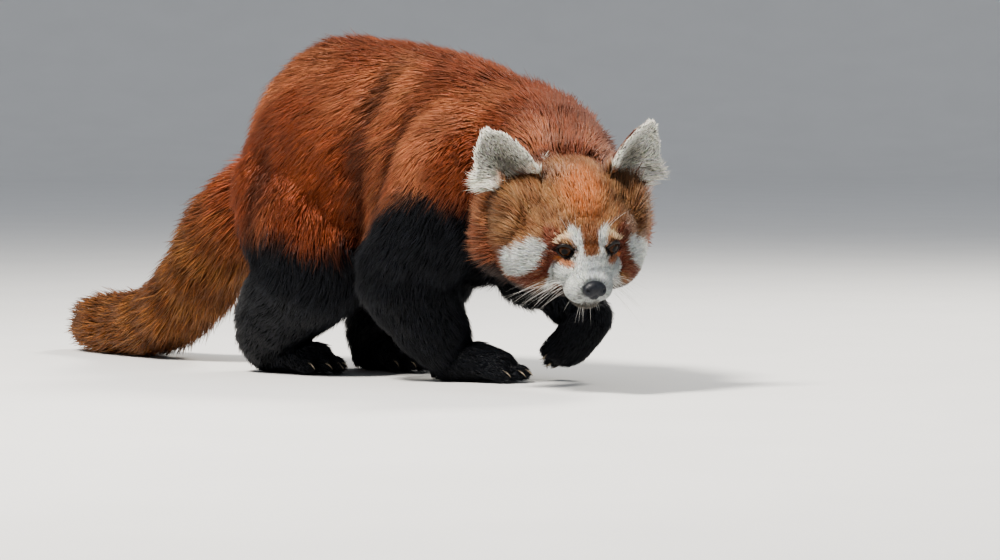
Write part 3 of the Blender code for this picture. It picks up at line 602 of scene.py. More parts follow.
def headMarks(q, points):
    x, y, z = q.T
    a = np.abs(y)
    flat = np.stack((a, z), axis=1)
    front = ease(0.020, 0.030, x)
    wave = ripple(points, 0.016, 21)
    colour = layered(
        np.tile(paint["brown"], (len(q), 1)),
        (ease(-0.7, 0.8, wave), "tan", 0.60),
        (ease(-0.020, -0.050, x) * ease(0.0, 0.03, z), "crown", 0.85),
        (ease(0.012, -0.022, z) * ease(0.045, 0.020, x), "cheek", 0.9),
        (ease(0.000, -0.040, x) * ease(0.036, -0.020, z), "cheek", 0.75),
        (blob(q, (0.014, 0, 0.050), (0.032, 0.016, 0.020), 0.6), "forehead", 0.80),
        # painted shade: a dark patch where the foot of the ear meets the crown
        (blob(q, (-0.022, 0.028, 0.048), (0.014, 0.008, 0.012)), "patch", 0.8),
    )
    # face
    band = polylineDistance(flat, [np.array(spot) for spot in face["tear"]])
    white = ease(-0.0012, 0.0012, a - bound("cheekIn", z)) * ease(0.0018, -0.0018, a - bound("cheekOut", z))
    white = white * ease(-0.0270, -0.0225, z) * ease(0.0190, 0.0155, z) * ease(0.0, 0.010, x)
    muzzle = ease(0.0012, -0.0012, a - bound("muzzle", z)) * ease(0.0125, 0.0105, z) * ease(0.034, 0.040, x)
    arch = polylineDistance(flat, [np.array(spot) for spot in face["arch"]])
    stripe = ease(-0.0010, 0.0015, z - 0.0118 - 0.004 * (a / 0.0072) ** 2) * ease(0.036, 0.046, x + 0.2 * (z - 0.02))
    colour = layered(
        colour,
        (front * ease(0.0085, 0.0050, band), "tear", 0.92),
        (white, "white"),
        (muzzle, "white"),
        (front * patch(a, z, (0.0225, 0.0042), (0.0078, 0.0036)), "underEye", 0.9),
        (blob(q, (0.062, 0, 0.002), (0.012, 0.0055, 0.0070), 0.6), "bridge", 0.3),
        *((front * patch(a, z, row[:2], row[2:]), "white") for row in face["brow"]),
        (front * ease(0.0028, 0.0010, arch), "pale", 0.7),
        (ease(0.0080, 0.0064, a) * stripe, "stripe", 0.95),
    )
    # rims, the dark inner corner, lips, and the dark throat, with painted shade under the chin below the lips
    for side in (1, -1):
        local = localTo(eyeFrame(side), points)
        far = spans(local)
        duct = [np.array((0.0075, -0.0060 * side, -0.0010)), np.array((0.0078, -0.0092 * side, -0.0040))]
        colour = layered(
            colour,
            (ease(1.36, 1.14, almond(local[:, 1], local[:, 2])) * ease(0.012, 0.009, far), "rim"),
            (ease(0.0016, 0.0006, polylineDistance(local, duct)), "rim", 0.85),
        )
    # painted shade under the chin below the lips, running into the throat's dark fur
    colour = laid(colour, ease(-0.0275, -0.0330, z + 0.0012 * ripple(points, 0.006, 8)), "throatAndChinShade", 0.92)
    return laid(colour, ease(0.0016, 0.0007, lipDistance(points)), "rim", 0.9)


blackEdge = ((-0.20, 0.150), (-0.13, 0.136), (-0.105, 0.124), (-0.05, 0.115), (-0.01, 0.109), (0.02, 0.105),
             (0.045, 0.118), (0.07, 0.138), (0.10, 0.160), (0.12, 0.160), (0.15, 0.150), (0.18, 0.118), (0.26, 0.098))


def markings(points, normals, field):
    x, y, z = points.T
    edge = np.interp(x, *np.array(blackEdge).T) + 0.007 * ripple(points, 0.03, 5)
    colour = layered(
        np.tile(paint["rust"], (len(points), 1)),
        # painted light: sunlit streaks of paler rust laid across the body
        (ease(-0.2, 0.8, ripple(points * np.array((1, 0.4, 0.4)), 0.045, 3)), "rustLit", 0.65),
        # darker where the coat faces up, and over the shoulders and the neck
        (np.maximum(ease(0.45, 0.95, normals[:, 2]), ease(0.13, 0.19, x)), "ridge", 0.6),
        # each fold gets a painted highlight on the coat ahead of it and painted shade along its groove
        *(layer for fold in folds for layer in (
            (foldShare(points, fold, 0.020), "rustLit", fold["crestHighlight"]),
            (foldShare(points, fold, -0.004), "ridge", 0.85))),
        (ease(0.010, -0.010, z - edge), "black"),
        (ease(0.4, 0.6, field["foot"]), "black"),
    )
    run = np.argmin(((points[:, None, :] - tailPath[None, ::3, :3]) ** 2).sum(2), axis=1) * 3
    spot = tailPath[run, :3]
    way = ((points - spot) * tailFlow[run]).sum(1)
    length = np.concatenate(((0,), np.cumsum(spans(np.diff(tailPath[:, :3], axis=0)))))
    ring = np.sin((length[run] + way) / tail["ring"] * 2 * pi + 0.6 * ripple(points, 0.05, 9))
    tone = layered(
        np.tile(paint["tail"], (len(points), 1)),
        (ease(0.1, 0.9, ring), "tailPale", 0.7),
        (ease(-0.1, -0.9, ring), "tailDark", 0.7),
        (ease(0.10, 0.02, length[run] + way), "rust", 0.9),
    )
    onTail = ease(0.35, 0.65, field["tail"])[:, None]
    colour = colour + onTail * (tone - colour)
    q = toHead(points)
    onHead = ease(0.35, 0.65, field["head"])[:, None]
    colour = colour + onHead * (headMarks(q, points) - colour)
    for side in (1, -1):
        earLocal = localTo(earFrame(side), points)
        inEar = field["ear"] * (np.sign(q[:, 1]) == side)
        facing = ease(-0.25, 0.25, normals @ turnOf(earFrame(side))[:, 0])
        across, rise = earLocal[:, 1] * side / (ear["width"] / 2), earLocal[:, 2] / ear["height"]
        front = layered(
            np.tile(paint["earWhite"], (len(points), 1)),
            # painted shade in the hollow of the ear's cup
            (ease(1.4, 0.3, np.hypot((across - 0.02) / 0.46, (rise - 0.42) / 0.28)), "earHollowShade", 0.70),
            (ease(0.18, 0.10, rise) * ease(0.05, 0.35, across), "cheek"),
        )
        rear = layered(
            np.tile(paint["earBack"], (len(points), 1)),
            (ease(0.72, 0.95, np.maximum(np.abs(across), rise)), "earWhite", 0.8),
            (ease(0.22, 0.12, rise), "cheek"),
        )
        tone = rear + facing[:, None] * (front - rear)
        colour = colour + inEar[:, None] * (tone - colour)
    return np.clip(colour, 0, 1)


# ---- the coat's field over the skin: parts, lie, length, width and lift
parts = ("trunk", "neck", "Upper", "Lower", "Paw", "tail", "head")
coat = {
    # length, width, lift at the root, lift at the tip, tufts a square centimetre
    "trunk": (0.026, 0.0010, 30, 5, 43), "neck": (0.025, 0.0010, 30, 6, 46), "Upper": (0.021, 0.0010, 30, 5, 43),
    "Lower": (0.014, 0.0009, 30, 6, 44), "Paw": (0.0080, 0.0008, 28, 2, 70), "tail": (0.040, 0.0013, 30, 10, 42),
    "head": (0.012, 0.0009, 26, 6, 95),
}
coatBlend = 0.006


def fieldOf(points, normals):
    rows = formDistance(points, forms)
    weight = np.exp(-(rows - rows.min(axis=0)) / coatBlend)
    weight /= weight.sum(axis=0)
    found = {}
    for part in parts:
        chosen = [i for i, form in enumerate(forms) if form["region"].endswith(part)]
        found[part] = weight[chosen].sum(axis=0).astype(float)
    found["foot"] = found["Lower"] + found["Paw"]
    lie = (weight.T @ np.array([form["lie"] for form in forms], np.float32)).astype(float)
    q = toHead(points)
    a = np.abs(q[:, 1])
    fromNose = unit(q - np.array((0.078, 0, -0.012)))
    sideways = ease(0.018, 0.05, a)
    swept = fromNose + np.stack((-0.35 - 0.3 * sideways, 0.0 * a, 0.35 * (1 - sideways) - 0.45 * sideways), axis=1)
    headLie = unit(swept) @ headTurn.T
    lie = lie * (1 - found["head"])[:, None] + headLie * found["head"][:, None]
    size = {key: sum(found[part] * coat[part][i] for part in parts)
            for i, key in enumerate(("length", "width", "lift", "droop", "count"))}
    # shorter and finer toward the nose, longer on the cheeks
    front = ease(0.012, 0.050, q[:, 0]) * found["head"]
    snout = ease(0.046, 0.060, q[:, 0]) * found["head"]
    ruff = blob(q, (-0.026, 0.052, -0.012), (0.040, 0.032, 0.048), 0.7) * found["head"]
    size["length"] = size["length"] * (1 - 0.40 * front) * (1 - 0.38 * snout) + 0.014 * ruff
    size["length"] = size["length"] * (1 - 0.55 * ease(0.0070, 0.0020, lipDistance(points)))
    size["droop"] = size["droop"] + 8 * ruff
    size["width"] = size["width"] * (1 - 0.25 * front) * (1 - 0.30 * snout)
    size["count"] = size["count"] * (1 + 0.9 * front) * (1 + 0.8 * snout)
    size["lift"] = size["lift"] - 6 * front + 6 * snout + 3 * ruff
    size["length"] = size["length"] * (1 - 0.45 * ease(-0.400, -0.450, points[:, 0]))
    ears = np.zeros(len(points))
    clear = formDistance(points, headForms).min(axis=0)
    for side in (1, -1):
        place = earFrame(side)
        local = localTo(place, points)
        across, rise = local[:, 1] * side / (ear["width"] / 2), local[:, 2] / ear["height"]
        on = ease(0.000, 0.003, clear) * ease(0.02, 0.10, rise) * (np.abs(across) < 1.3)
        on = on * (np.abs(local[:, 0]) < 0.03) * (q[:, 1] * side > 0)
        facing = ease(-0.2, 0.2, normals @ turnOf(place)[:, 0])
        fringe = ease(0.10, 0.75, across) * ease(0.58, 0.18, rise)
        low = ease(0.24, 0.06, rise) * facing * (1 - fringe)
        outer, up = (0.45 * across + 1.5 * fringe) * side, 1.0 - 1.15 * fringe - 1.1 * low
        fan = np.stack((0.10 * facing + 0.3 * low, outer, up), axis=1)
        # hair of the brow reaches over the foot of the ear
        brim = spans((local - np.array((0.008, 0, 0.002))) * np.array((1.0, 0.75, 1.0)))
        brim = ease(0.030, 0.012, brim) * (1 - on) * found["head"]
        size["length"] = size["length"] + 0.006 * brim
        size["lift"] = size["lift"] + 5 * brim
        earLie = unit(fan) @ turnOf(place).T
        lie = lie * (1 - on)[:, None] + earLie * on[:, None]
        length = 0.0045 + 0.0015 * facing + 0.014 * fringe + 0.005 * low
        for key, value in (("length", length), ("width", 0.0010), ("lift", 24 + 10 * facing), ("droop", 8),
                           ("count", 95)):
            size[key] = size[key] * (1 - on) + value * on
        ears = np.maximum(ears, on)
    return {**found, **size, "ear": ears, "lie": lie}


outward = meshPoints(skinObject.data, "vector")
field = fieldOf(corners, outward)
edges = read(skinObject.data.edges, "vertices", np.int32, 2)


def spread(values, times):
    tally = np.bincount(edges.ravel(), minlength=len(values)).astype(float)[:, None]
    for _ in range(times):
        total = np.zeros_like(values)
        for k in range(values.shape[1]):
            total[:, k] += np.bincount(edges[:, 0], values[edges[:, 1], k], len(values))
            total[:, k] += np.bincount(edges[:, 1], values[edges[:, 0], k], len(values))
        values = 0.4 * values + 0.6 * total / np.maximum(tally, 1)
    return values


lie = field["lie"]
for _ in range(3):
    lie = spread(lie, 4)
    lie = unit(lie - outward * (lie * outward).sum(1)[:, None])
field["lie"] = lie
skinColour = markings(corners, outward, field)


def numberAttribute(mesh, name, values):
    mesh.attributes.new(name, "FLOAT", "POINT").data.foreach_set("value", np.array(values, np.float32))


def colourAttribute(mesh, name, values):
    layer = mesh.attributes.new(name, "FLOAT_COLOR", "POINT")
    packed = np.ones((len(values), 4), np.float32)
    packed[:, :3] = values
    layer.data.foreach_set("color", packed.ravel())


colourAttribute(skinObject.data, "coat", skinColour)
print("lie and markings set")


# ---- an unwrap of the skin's own shape, for the places of the tufts on their OFBake map
guideTriangles, mapPatch = 7000, 0.003
guide = newObject("guide", skinObject.data.copy())
guide.data.calc_loop_triangles()
applied(guide, [("DECIMATE", {"ratio": guideTriangles / len(guide.data.loop_triangles)}), ("TRIANGULATE", {})])
bpy.context.view_layer.objects.active = guide
for obj in bpy.context.selected_objects:
    obj.select_set(False)
guide.select_set(True)
bpy.ops.object.mode_set(mode="EDIT")
bpy.ops.mesh.select_all(action="SELECT")
bpy.ops.uv.smart_project(angle_limit=radians(66), island_margin=0.004)
bpy.ops.object.mode_set(mode="OBJECT")
guideCorners = meshPoints(guide.data)
guideSides = np.array([tuple(face.vertices) for face in guide.data.polygons])
guideMap = read(guide.data.uv_layers.active.data, "uv", np.float32, 2).reshape(-1, 3, 2)
guideTree = BVHTree.FromPolygons([Vector(p) for p in guideCorners], guideSides.tolist())
bpy.data.objects.remove(guide)
print("unwrapped a guide of", len(guideSides), "faces")


def mapPlaces(points):
    found = [guideTree.find_nearest(Vector(p)) for p in points]
    index = np.array([hit[2] for hit in found])
    spot = np.array([hit[0] for hit in found])
    a, b, c = (guideCorners[guideSides[index, k]] for k in range(3))
    v0, v1, v2 = b - a, c - a, spot - a
    d00, d01, d11 = (v0 * v0).sum(1), (v0 * v1).sum(1), (v1 * v1).sum(1)
    d20, d21 = (v2 * v0).sum(1), (v2 * v1).sum(1)
    below = np.maximum(d00 * d11 - d01 * d01, 1e-18)
    v, w = (d11 * d20 - d01 * d21) / below, (d00 * d21 - d01 * d20) / below
    shares = np.clip(np.stack((1 - v - w, v, w), axis=1), 0, 1)
    shares /= shares.sum(1, keepdims=True)
    return (guideMap[index] * shares[:, :, None]).sum(1)


# ---- materials
class Value:
    def __init__(self, finish, socket):
        self.finish, self.socket = finish, socket

    def maths(self, kind, first, second):
        return self.finish.node("ShaderNodeMath", {"operation": kind}, {0: first, 1: second})

    def __add__(self, other): return self.maths("ADD", self, other)
    def __sub__(self, other): return self.maths("SUBTRACT", self, other)
    def __mul__(self, other): return self.maths("MULTIPLY", self, other)


class Finish:
    def __init__(self, name, **constants):
        self.material = bpy.data.materials.new(name)
        self.material.use_nodes = True
        self.tree = self.material.node_tree
        self.shader = self.tree.nodes["Principled BSDF"]
        for key, value in constants.items():
            self.shader.inputs[key.replace("_", " ")].default_value = value
        self.place = self.node("ShaderNodeTexCoord", {}, {}, "Object")

    def node(self, kind, settings, values, output=0):
        made = self.tree.nodes.new(kind)
        for key, value in settings.items():
            if key == "stops":
                ramp = made.color_ramp
                while len(ramp.elements) < len(value):
                    ramp.elements.new(0.5)
                for element, (spot, colour) in zip(ramp.elements, value):
                    element.position, element.color = spot, colour
            else:
                setattr(made, key, value)
        for key, value in values.items():
            if isinstance(value, Value):
                self.tree.links.new(value.socket, made.inputs[key])
            else:
                made.inputs[key].default_value = value
        return Value(self, made.outputs[output])

    def noise(self, scale, detail=3.0, rough=0.5):
        return self.node("ShaderNodeTexNoise", {}, {"Vector": self.place, "Scale": scale, "Detail": detail,
                                                    "Roughness": rough})

    def mix(self, factor, a, b, mode="MIX"):
        return self.node("ShaderNodeMix", {"data_type": "RGBA", "blend_type": mode}, {0: factor, 6: a, 7: b}, 2)

    def ramp(self, value, stops):
        return self.node("ShaderNodeValToRGB", {"stops": stops}, {0: value})

    def attribute(self, name, output="Color"):
        return self.node("ShaderNodeAttribute", {"attribute_name": name}, {}, output)

    def bump(self, height, strength, distance):
        return self.node("ShaderNodeBump", {}, {"Strength": strength, "Distance": distance, "Height": height})

    def feed(self, **links):
        for key, value in links.items():
            self.tree.links.new(value.socket, self.shader.inputs[key.replace("_", " ")])
        return self.material


def grey(value):
    return (value, value, value, 1.0)


def hairFinish(name, roughness, glint):
    finish = Finish(name, Specular_IOR_Level=glint)
    tone = finish.attribute("coat")
    patchy = finish.noise(38.0, 3.0)
    streaks = finish.noise(420.0, 2.0)
    tone = finish.mix(1.0, tone, finish.ramp(patchy, ((0.30, grey(0.80)), (0.70, grey(1.14)))), "MULTIPLY")
    tone = finish.mix(1.0, tone, finish.ramp(streaks, ((0.30, grey(0.84)), (0.70, grey(1.12)))), "MULTIPLY")
    return finish.feed(Base_Color=tone, Roughness=streaks * 0.16 + roughness)


def skinFinish():
    finish = Finish("underSkin", Specular_IOR_Level=0.3)
    tone = finish.attribute("coat")
    grain = finish.noise(900.0, 4.0, 0.6)
    tone = finish.mix(1.0, tone, finish.ramp(grain, ((0.25, grey(0.34)), (0.75, grey(0.62)))), "MULTIPLY")
    return finish.feed(Base_Color=tone, Roughness=grain * 0.2 + 0.6, Normal=finish.bump(grain, 0.5, 0.0006))


coatFinish = hairFinish("coatHair", 0.42, 0.30)
blackFinish = hairFinish("legHair", 0.30, 0.36)
skinObject.data.materials.clear()
skinObject.data.materials.append(skinFinish())
softened(skinObject.data)
skinObject.name = "skin"
finished(skinObject)
flesh = [name for name in frame["nodes"] if not name.startswith(("eye_", "nose"))]
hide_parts(*flesh)
print("skin dressed")


# ---- the coat: thin three sided tufts, closed, rooted in the skin
def scatter(mesh, counts, seed):
    draw = np.random.default_rng(seed)
    mesh.calc_loop_triangles()
    sides = read(mesh.loop_triangles, "vertices", np.int32, 3)
    a, b, c = (corners[sides[:, k]] for k in range(3))
    area = spans(np.cross(b - a, c - a)) / 2
    want = area * 1e4 * counts[sides].mean(axis=1)
    number = np.floor(want + draw.random(len(want))).astype(int)
    chosen = np.repeat(np.arange(len(sides)), number)
    u, v = draw.random(len(chosen)), draw.random(len(chosen))
    over = u + v > 1
    u[over], v[over] = 1 - u[over], 1 - v[over]
    return sides[chosen], np.stack((1 - u - v, u, v), axis=1)


density = field["count"] * 1.0
bare = np.zeros(len(corners))
for side in (1, -1):
    local = localTo(eyeFrame(side), corners)
    bare = np.maximum(bare, (almond(local[:, 1], local[:, 2]) < 1.28) * (spans(local) < 0.012))
bare = np.maximum(bare, lipDistance(corners) < 0.0015)
noseLocal = toHead(corners) - np.array((0.0745, 0, -0.0125))
bare = np.maximum(bare, spans(noseLocal / np.array((0.0080, 0.0098, 0.0078))) < 1.0)
density = density * (1 - bare)
sides, shares = scatter(skinObject.data, density, seeds["roots"])


def carried(values):
    values = np.asarray(values)
    if values.ndim == 1:
        return (values[sides] * shares).sum(axis=1)
    return (values[sides] * shares[:, :, None]).sum(axis=1)


roots, normals = carried(corners), unit(carried(outward))
lies = carried(field["lie"])
lies = unit(lies - normals * (lies * normals).sum(1)[:, None])
size = {key: carried(field[key])
        for key in ("length", "width", "lift", "droop", "head", "tail", "foot", "ear", "Paw")}
draw = np.random.default_rng(seeds["coat"])
total = len(roots)
jitter = 0.0008 + 0.0028 * (1 - size["head"])
sampled = roots + np.cross(normals, lies) * (draw.normal(size=total) * jitter)[:, None]
sampled = sampled + lies * (size["length"] * draw.uniform(0.5, 1.0, total))[:, None]
tuftColour = markings(sampled, normals, {key: size[key] for key in ("head", "tail", "foot", "ear")})
print("coat of", total, "tufts")

# length, lean and lift wander a little, and neighbouring tufts gather at their tips
across = np.cross(normals, lies)
lean = 0.22 * ripple(roots, 0.035, 31) + 0.16 * ripple(roots, 0.012, 32) + 0.16 * draw.normal(size=total)
lies = unit(lies + across * lean[:, None])
across = np.cross(normals, lies)
lengths = size["length"] * (1 + 0.14 * ripple(roots, 0.03, 33)) * draw.uniform(0.72, 1.18, total)
lifts = np.radians(size["lift"] * (1 + 0.25 * ripple(roots, 0.02, 34)) * draw.uniform(0.65, 1.30, total))
droops = np.radians(size["droop"] + 5 * draw.normal(size=total))
widths = size["width"] * draw.uniform(0.75, 1.25, total)


def spines(stops, index):
    path = [roots[index] - normals[index] * np.minimum(0.0008, 0.06 * lengths[index])[:, None]]
    for start, stop in zip(stops[:-1], stops[1:]):
        t = (start + stop) / 2
        angle = (lifts * (1 - t) + droops * t)[index]
        ahead = lies[index] * np.cos(angle)[:, None] + normals[index] * np.sin(angle)[:, None]
        path.append(path[-1] + ahead * (lengths[index] * (stop - start))[:, None])
    return np.stack(path, axis=1)


# one tuft in so many leads its neighbours, whose tips come this share of the way to its own
clump = {"trunk": (16, 0.30), "tail": (14, 0.24), "head": (10, 0.26)}


def gathered(path, index, stops, every, pull, seed):
    draw = np.random.default_rng(seed)
    leaders = np.nonzero(draw.random(len(index)) < 1 / every)[0]
    tree = kdtree.KDTree(len(leaders))
    for i, leader in enumerate(leaders):
        tree.insert(path[leader, 0], i)
    tree.balance()
    lead = leaders[np.array([tree.find(spot)[1] for spot in path[:, 0]])]
    goal = path[lead, -1] + 0.30 * (path[:, 0] - path[lead, 0])
    away = goal - path[:, -1]
    reach = spans(path[:, 0] - path[lead, 0])
    away *= (pull * draw.random(len(index)) ** 0.5 * ease(0.020, 0.006, reach))[:, None]
    for k, stop in enumerate(stops):
        path[:, k] += away * stop**1.4
    return path


def spindleSides(rings):
    # points: the sunk root, three for each ring, the tip
    tip, rows = 3 * rings + 1, []
    for i in range(3):
        j = (i + 1) % 3
        rows.append((0, 1 + j, 1 + i))
        for k in range(rings - 1):
            a, b = 1 + 3 * k, 4 + 3 * k
            rows += [(a + i, a + j, b + j), (a + i, b + j, b + i)]
        rows.append((tip - 3 + i, tip - 3 + j, tip))
    return np.array(rows)


def tuftMesh(name, index, stops, shaped, every, pull, seed):
    path = gathered(spines(stops, index), index, stops, every, pull, seed)
    rings = len(stops) - 2
    points = [path[:, 0]]
    for k in range(1, rings + 1):
        way = unit(path[:, k + 1] - path[:, k - 1])
        up = unit(normals[index] - way * (normals[index] * way).sum(1)[:, None])
        flat = np.cross(up, way)
        half = (widths[index] * shaped[k - 1] / 2)[:, None]
        points += [path[:, k] - flat * half, path[:, k] + flat * half, path[:, k] + up * half * 0.8]
    points.append(path[:, -1])
    points = np.stack(points, axis=1)
    points[:, :, 2] = np.maximum(points[:, :, 2], 0.0004)
    sideFaces = spindleSides(rings)
    whole = points[0]
    tri = whole[sideFaces]
    if np.einsum("ij,ij->i", tri[:, 0] - whole[0], np.cross(tri[:, 1] - whole[0], tri[:, 2] - whole[0])).sum() < 0:
        sideFaces = sideFaces[:, ::-1]
    stride = 3 * rings + 2
    faces = (sideFaces[None] + (np.arange(len(index)) * stride)[:, None, None]).reshape(-1, 3)
    mesh = arrayMesh(name, points.reshape(-1, 3) + home, faces)
    # painted shade darkens each tuft toward its root, deep in the coat; it is paler at the tip, and no two tufts are
    # quite alike
    draw = np.random.default_rng(seed + 1)
    base = tuftColour[index] * draw.uniform(0.78, 1.18, len(index))[:, None]
    base = base * (1 + draw.normal(size=(len(index), 3)) * np.array((0.03, 0.04, 0.05)))
    grizzle = (0.22 * size["head"] + 0.10)[index] * draw.random(len(index)) ** 2
    grizzle = grizzle * (1 - 0.7 * ease(0.3, 0.7, size["foot"][index]))
    dark = ease(0.05, 0.02, tuftColour[index].max(axis=1))
    grizzle = grizzle * (1 - dark)
    # painted glints: some black tufts turn bluish grey toward the tip
    paintedGlint = np.outer(dark * draw.random(len(index)) ** 3, (0.040, 0.042, 0.056))
    colours = []
    for k, stop in enumerate(stops):
        # painted shade deep in the coat: each tuft is darker toward its root
        tone = base * (0.50 + 0.62 * ease(0, 0.65, stop))
        tone = tone + (grizzle * stop**2)[:, None] * (paint["pale"] - tone) + paintedGlint * stop**2
        colours += [tone] * (3 if 0 < k <= rings else 1)
    colourAttribute(mesh, "coat", np.clip(np.stack(colours, axis=1).reshape(-1, 3), 0, 1))
    # each tuft has its own small patch at its root's place on the unwrap
    places = mapPlaces(roots[index])
    spread = [(0.5, 0.0)] + [(i / 2, stops[k]) for k in range(1, rings + 1) for i in range(3)] + [(0.5, 1.0)]
    spots = places[:, None] + mapPatch * (np.array(spread)[None] - 0.5)
    layer = mesh.uv_layers.new(name="OFBake")
    layer.data.foreach_set("uv", np.clip(spots.reshape(-1, 2)[faces.ravel()], 0, 1).astype(np.float32).ravel())
    return newObject(name, mesh)


# where one piece of the coat ends and the next begins along the body, and along the head for the face
borders = {"rump": -0.03, "shoulder": 0.085, "face": 0.036, "tailEnd": -0.285, "mostTriangles": 198000}
left, x = roots[:, 1] > 0, roots[:, 0]
onTail, onHead, onEar = size["tail"] > 0.5, (size["head"] > 0.5) | (size["ear"] > 0.5), size["ear"] > 0.5
onPaw = (size["Paw"] > 0.5) & ~onHead
onLeg = (size["foot"] > 0.5) & ~onPaw & ~onHead
rest = ~(onTail | onHead | onPaw | onLeg)
rump, shoulder = x < borders["rump"], x >= borders["shoulder"]
flank, tailRoot = ~rump & ~shoulder, x > borders["tailEnd"]
onSkull = onHead & ~onEar
onFace, headLeft = toHead(roots)[:, 0] > borders["face"], toHead(roots)[:, 1] > 0
short, long = ((0.0, 0.38, 1.0), (1.0,)), ((0.0, 0.30, 0.66, 1.0), (1.0, 0.75))
groups = {
    "coatRumpRight": (rest & ~left & rump, short, "trunk", "hindleg_upper_coat"),
    "coatRumpLeft": (rest & left & rump, short, "trunk", "hindleg_upper_coat"),
    "coatFlankRight": (rest & ~left & flank, short, "trunk", "torso_coat"),
    "coatFlankLeft": (rest & left & flank, short, "trunk", "torso_coat"),
    "coatShoulderRight": (rest & ~left & shoulder, short, "trunk", "foreleg_upper_coat"),
    "coatShoulderLeft": (rest & left & shoulder, short, "trunk", "neck_coat"),
    "coatLegs": (onLeg, short, "trunk", "leg_coat"),
    "coatPaws": (onPaw, short, "head", "paw_coat"),
    "coatFace": (onSkull & onFace, short, "head", "head_coat"),
    "coatHeadRight": (onSkull & ~onFace & ~headLeft, short, "head", "head_coat"),
    "coatHeadLeft": (onSkull & ~onFace & headLeft, short, "head", "head_coat"),
    "coatEars": (onEar, short, "head", "ear_coat"),
    "coatTailRoot": (onTail & tailRoot, long, "tail", "tail_coat"),
    "coatTailEnd": (onTail & ~tailRoot, long, "tail", "tail_coat"),
}
made = 0
for seed, (name, (mask, (stops, shaped), kind, slot)) in enumerate(groups.items()):
    index = np.nonzero(mask)[0]
    most = borders["mostTriangles"] // (6 * len(shaped))
    if len(index) > most:
        print(name, "is thinned from", len(index), "to", most, "tufts")
        index = np.sort(np.random.default_rng(seed).permutation(index)[:most])
    if not len(index):
        continue
    piece = tuftMesh(name, index, stops, shaped, *clump[kind], seeds["pieces"] + 2 * seed)
    piece.data.materials.append(blackFinish if slot in ("leg_coat", "paw_coat") else coatFinish)
    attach(piece, "root")
    made += len(piece.data.polygons)
    print(name, len(index), "tufts,", len(piece.data.polygons), "triangles")
print("the coat has", made, "triangles")


# ---- eyes
def gridBall(frame, radius, around=48, along=32, bulge=0.0):
    points, away = [], []
    for j in range(1, along):
        turn = pi * j / along
        swell = radius + bulge * float(ease(0.80, 0.25, turn))
        for i in range(around):
            spin = 2 * pi * i / around
            points.append((swell * cos(turn), swell * sin(turn) * cos(spin), swell * sin(turn) * sin(spin)))
            away.append(turn)
    points += [(radius + bulge, 0, 0), (-radius, 0, 0)]
    away += [0.0, pi]
    front, rear = len(points) - 2, len(points) - 1
    faces = hoopFaces(along - 1, around)
    for i in range(around):
        j = (i + 1) % around
        faces += [(front, i, j), (rear, (along - 2) * around + j, (along - 2) * around + i)]
    turned = np.array(points) @ turnOf(frame).T + np.array(frame.translation)
    return faced(arrayMesh("ball", turned, np.array(faces))), np.array(away)


def eyeFinish():
    finish = Finish("eyeBrown", Roughness=0.16, Coat_Weight=0.12, Coat_Roughness=0.02, Specular_IOR_Level=0.10)
    away = finish.attribute("away", "Fac")
    rays = finish.noise(1400.0, 4.0, 0.7)
    bands = finish.ramp(away * 0.3183 + (rays - 0.5) * 0.012, (
        (0.0, (0.001, 0.001, 0.001, 1)), (0.100, (0.001, 0.001, 0.001, 1)), (0.112, (0.030, 0.011, 0.004, 1)),
        (0.190, (0.050, 0.018, 0.006, 1)), (0.230, (0.008, 0.004, 0.003, 1)), (0.260, (0.012, 0.008, 0.007, 1))))
    streaks = finish.ramp(rays, ((0.3, grey(0.6)), (0.7, grey(1.3))))
    return finish.feed(Base_Color=finish.mix(1.0, bands, streaks, "MULTIPLY"))


def ringTube(path, frame, thickness, sides=8):
    count = len(path)
    points = []
    turn = turnOf(frame)
    for i, spot in enumerate(path):
        ahead = unit(path[(i + 1) % count] - path[i - 1])
        out = unit(spot - ahead * (spot @ ahead))
        wide = np.cross(ahead, out)
        thick = thickness[i]
        for k in range(sides):
            angle = 2 * pi * k / sides
            points.append(spot + (out * cos(angle) + wide * sin(angle)) * thick)
    faces = hoopFaces(count, sides, closed=True)
    return faced(arrayMesh("ring", np.array(points) @ turn.T + np.array(frame.translation), np.array(faces)))


def darkFinish(name, tone, roughness, scale):
    finish = Finish(name, Coat_Weight=0.08, Coat_Roughness=0.2, Specular_IOR_Level=0.25)
    grain = finish.noise(scale, 3.0)
    colour = finish.ramp(grain, ((0.3, (*(np.array(tone) * 0.7), 1)), (0.7, (*(np.array(tone) * 1.3), 1))))
    return finish.feed(Base_Color=colour, Roughness=grain * 0.2 + roughness, Normal=finish.bump(grain, 0.4, 0.0003))


eyeMaterial = eyeFinish()
lidMaterial = darkFinish("lidRim", (0.010, 0.007, 0.006), 0.35, 1500.0)
for side, name in ((1, "Left"), (-1, "Right")):
    look = eyeFrame(side)
    mesh, away = gridBall(look, eye["radius"], bulge=0.0004)
    ball = newObject("eye" + name, mesh)
    numberAttribute(mesh, "away", away)
    mesh.materials.append(eyeMaterial)
    finished(ball)
    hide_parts("eye_" + name.lower())
    turns = np.linspace(0, 2 * pi, 64, endpoint=False)
    y = np.cos(turns) * eye["opening"] / 2
    z = np.sin(turns) * eye["height"] / 2 * (1 - eye["pinch"] * np.abs(np.cos(turns)) ** 3)
    reach = eye["radius"] + 0.0004
    path = np.stack((np.sqrt(reach**2 - y * y - z * z), y, z), axis=1)
    thickness = eye["rim"] * (1 + 0.8 * np.maximum(np.sin(turns), 0))
    rim = newObject("lid" + name, ringTube(path, look, thickness))
    rim.data.materials.append(lidMaterial)
    finished(rim)
print("eyes and lids set")


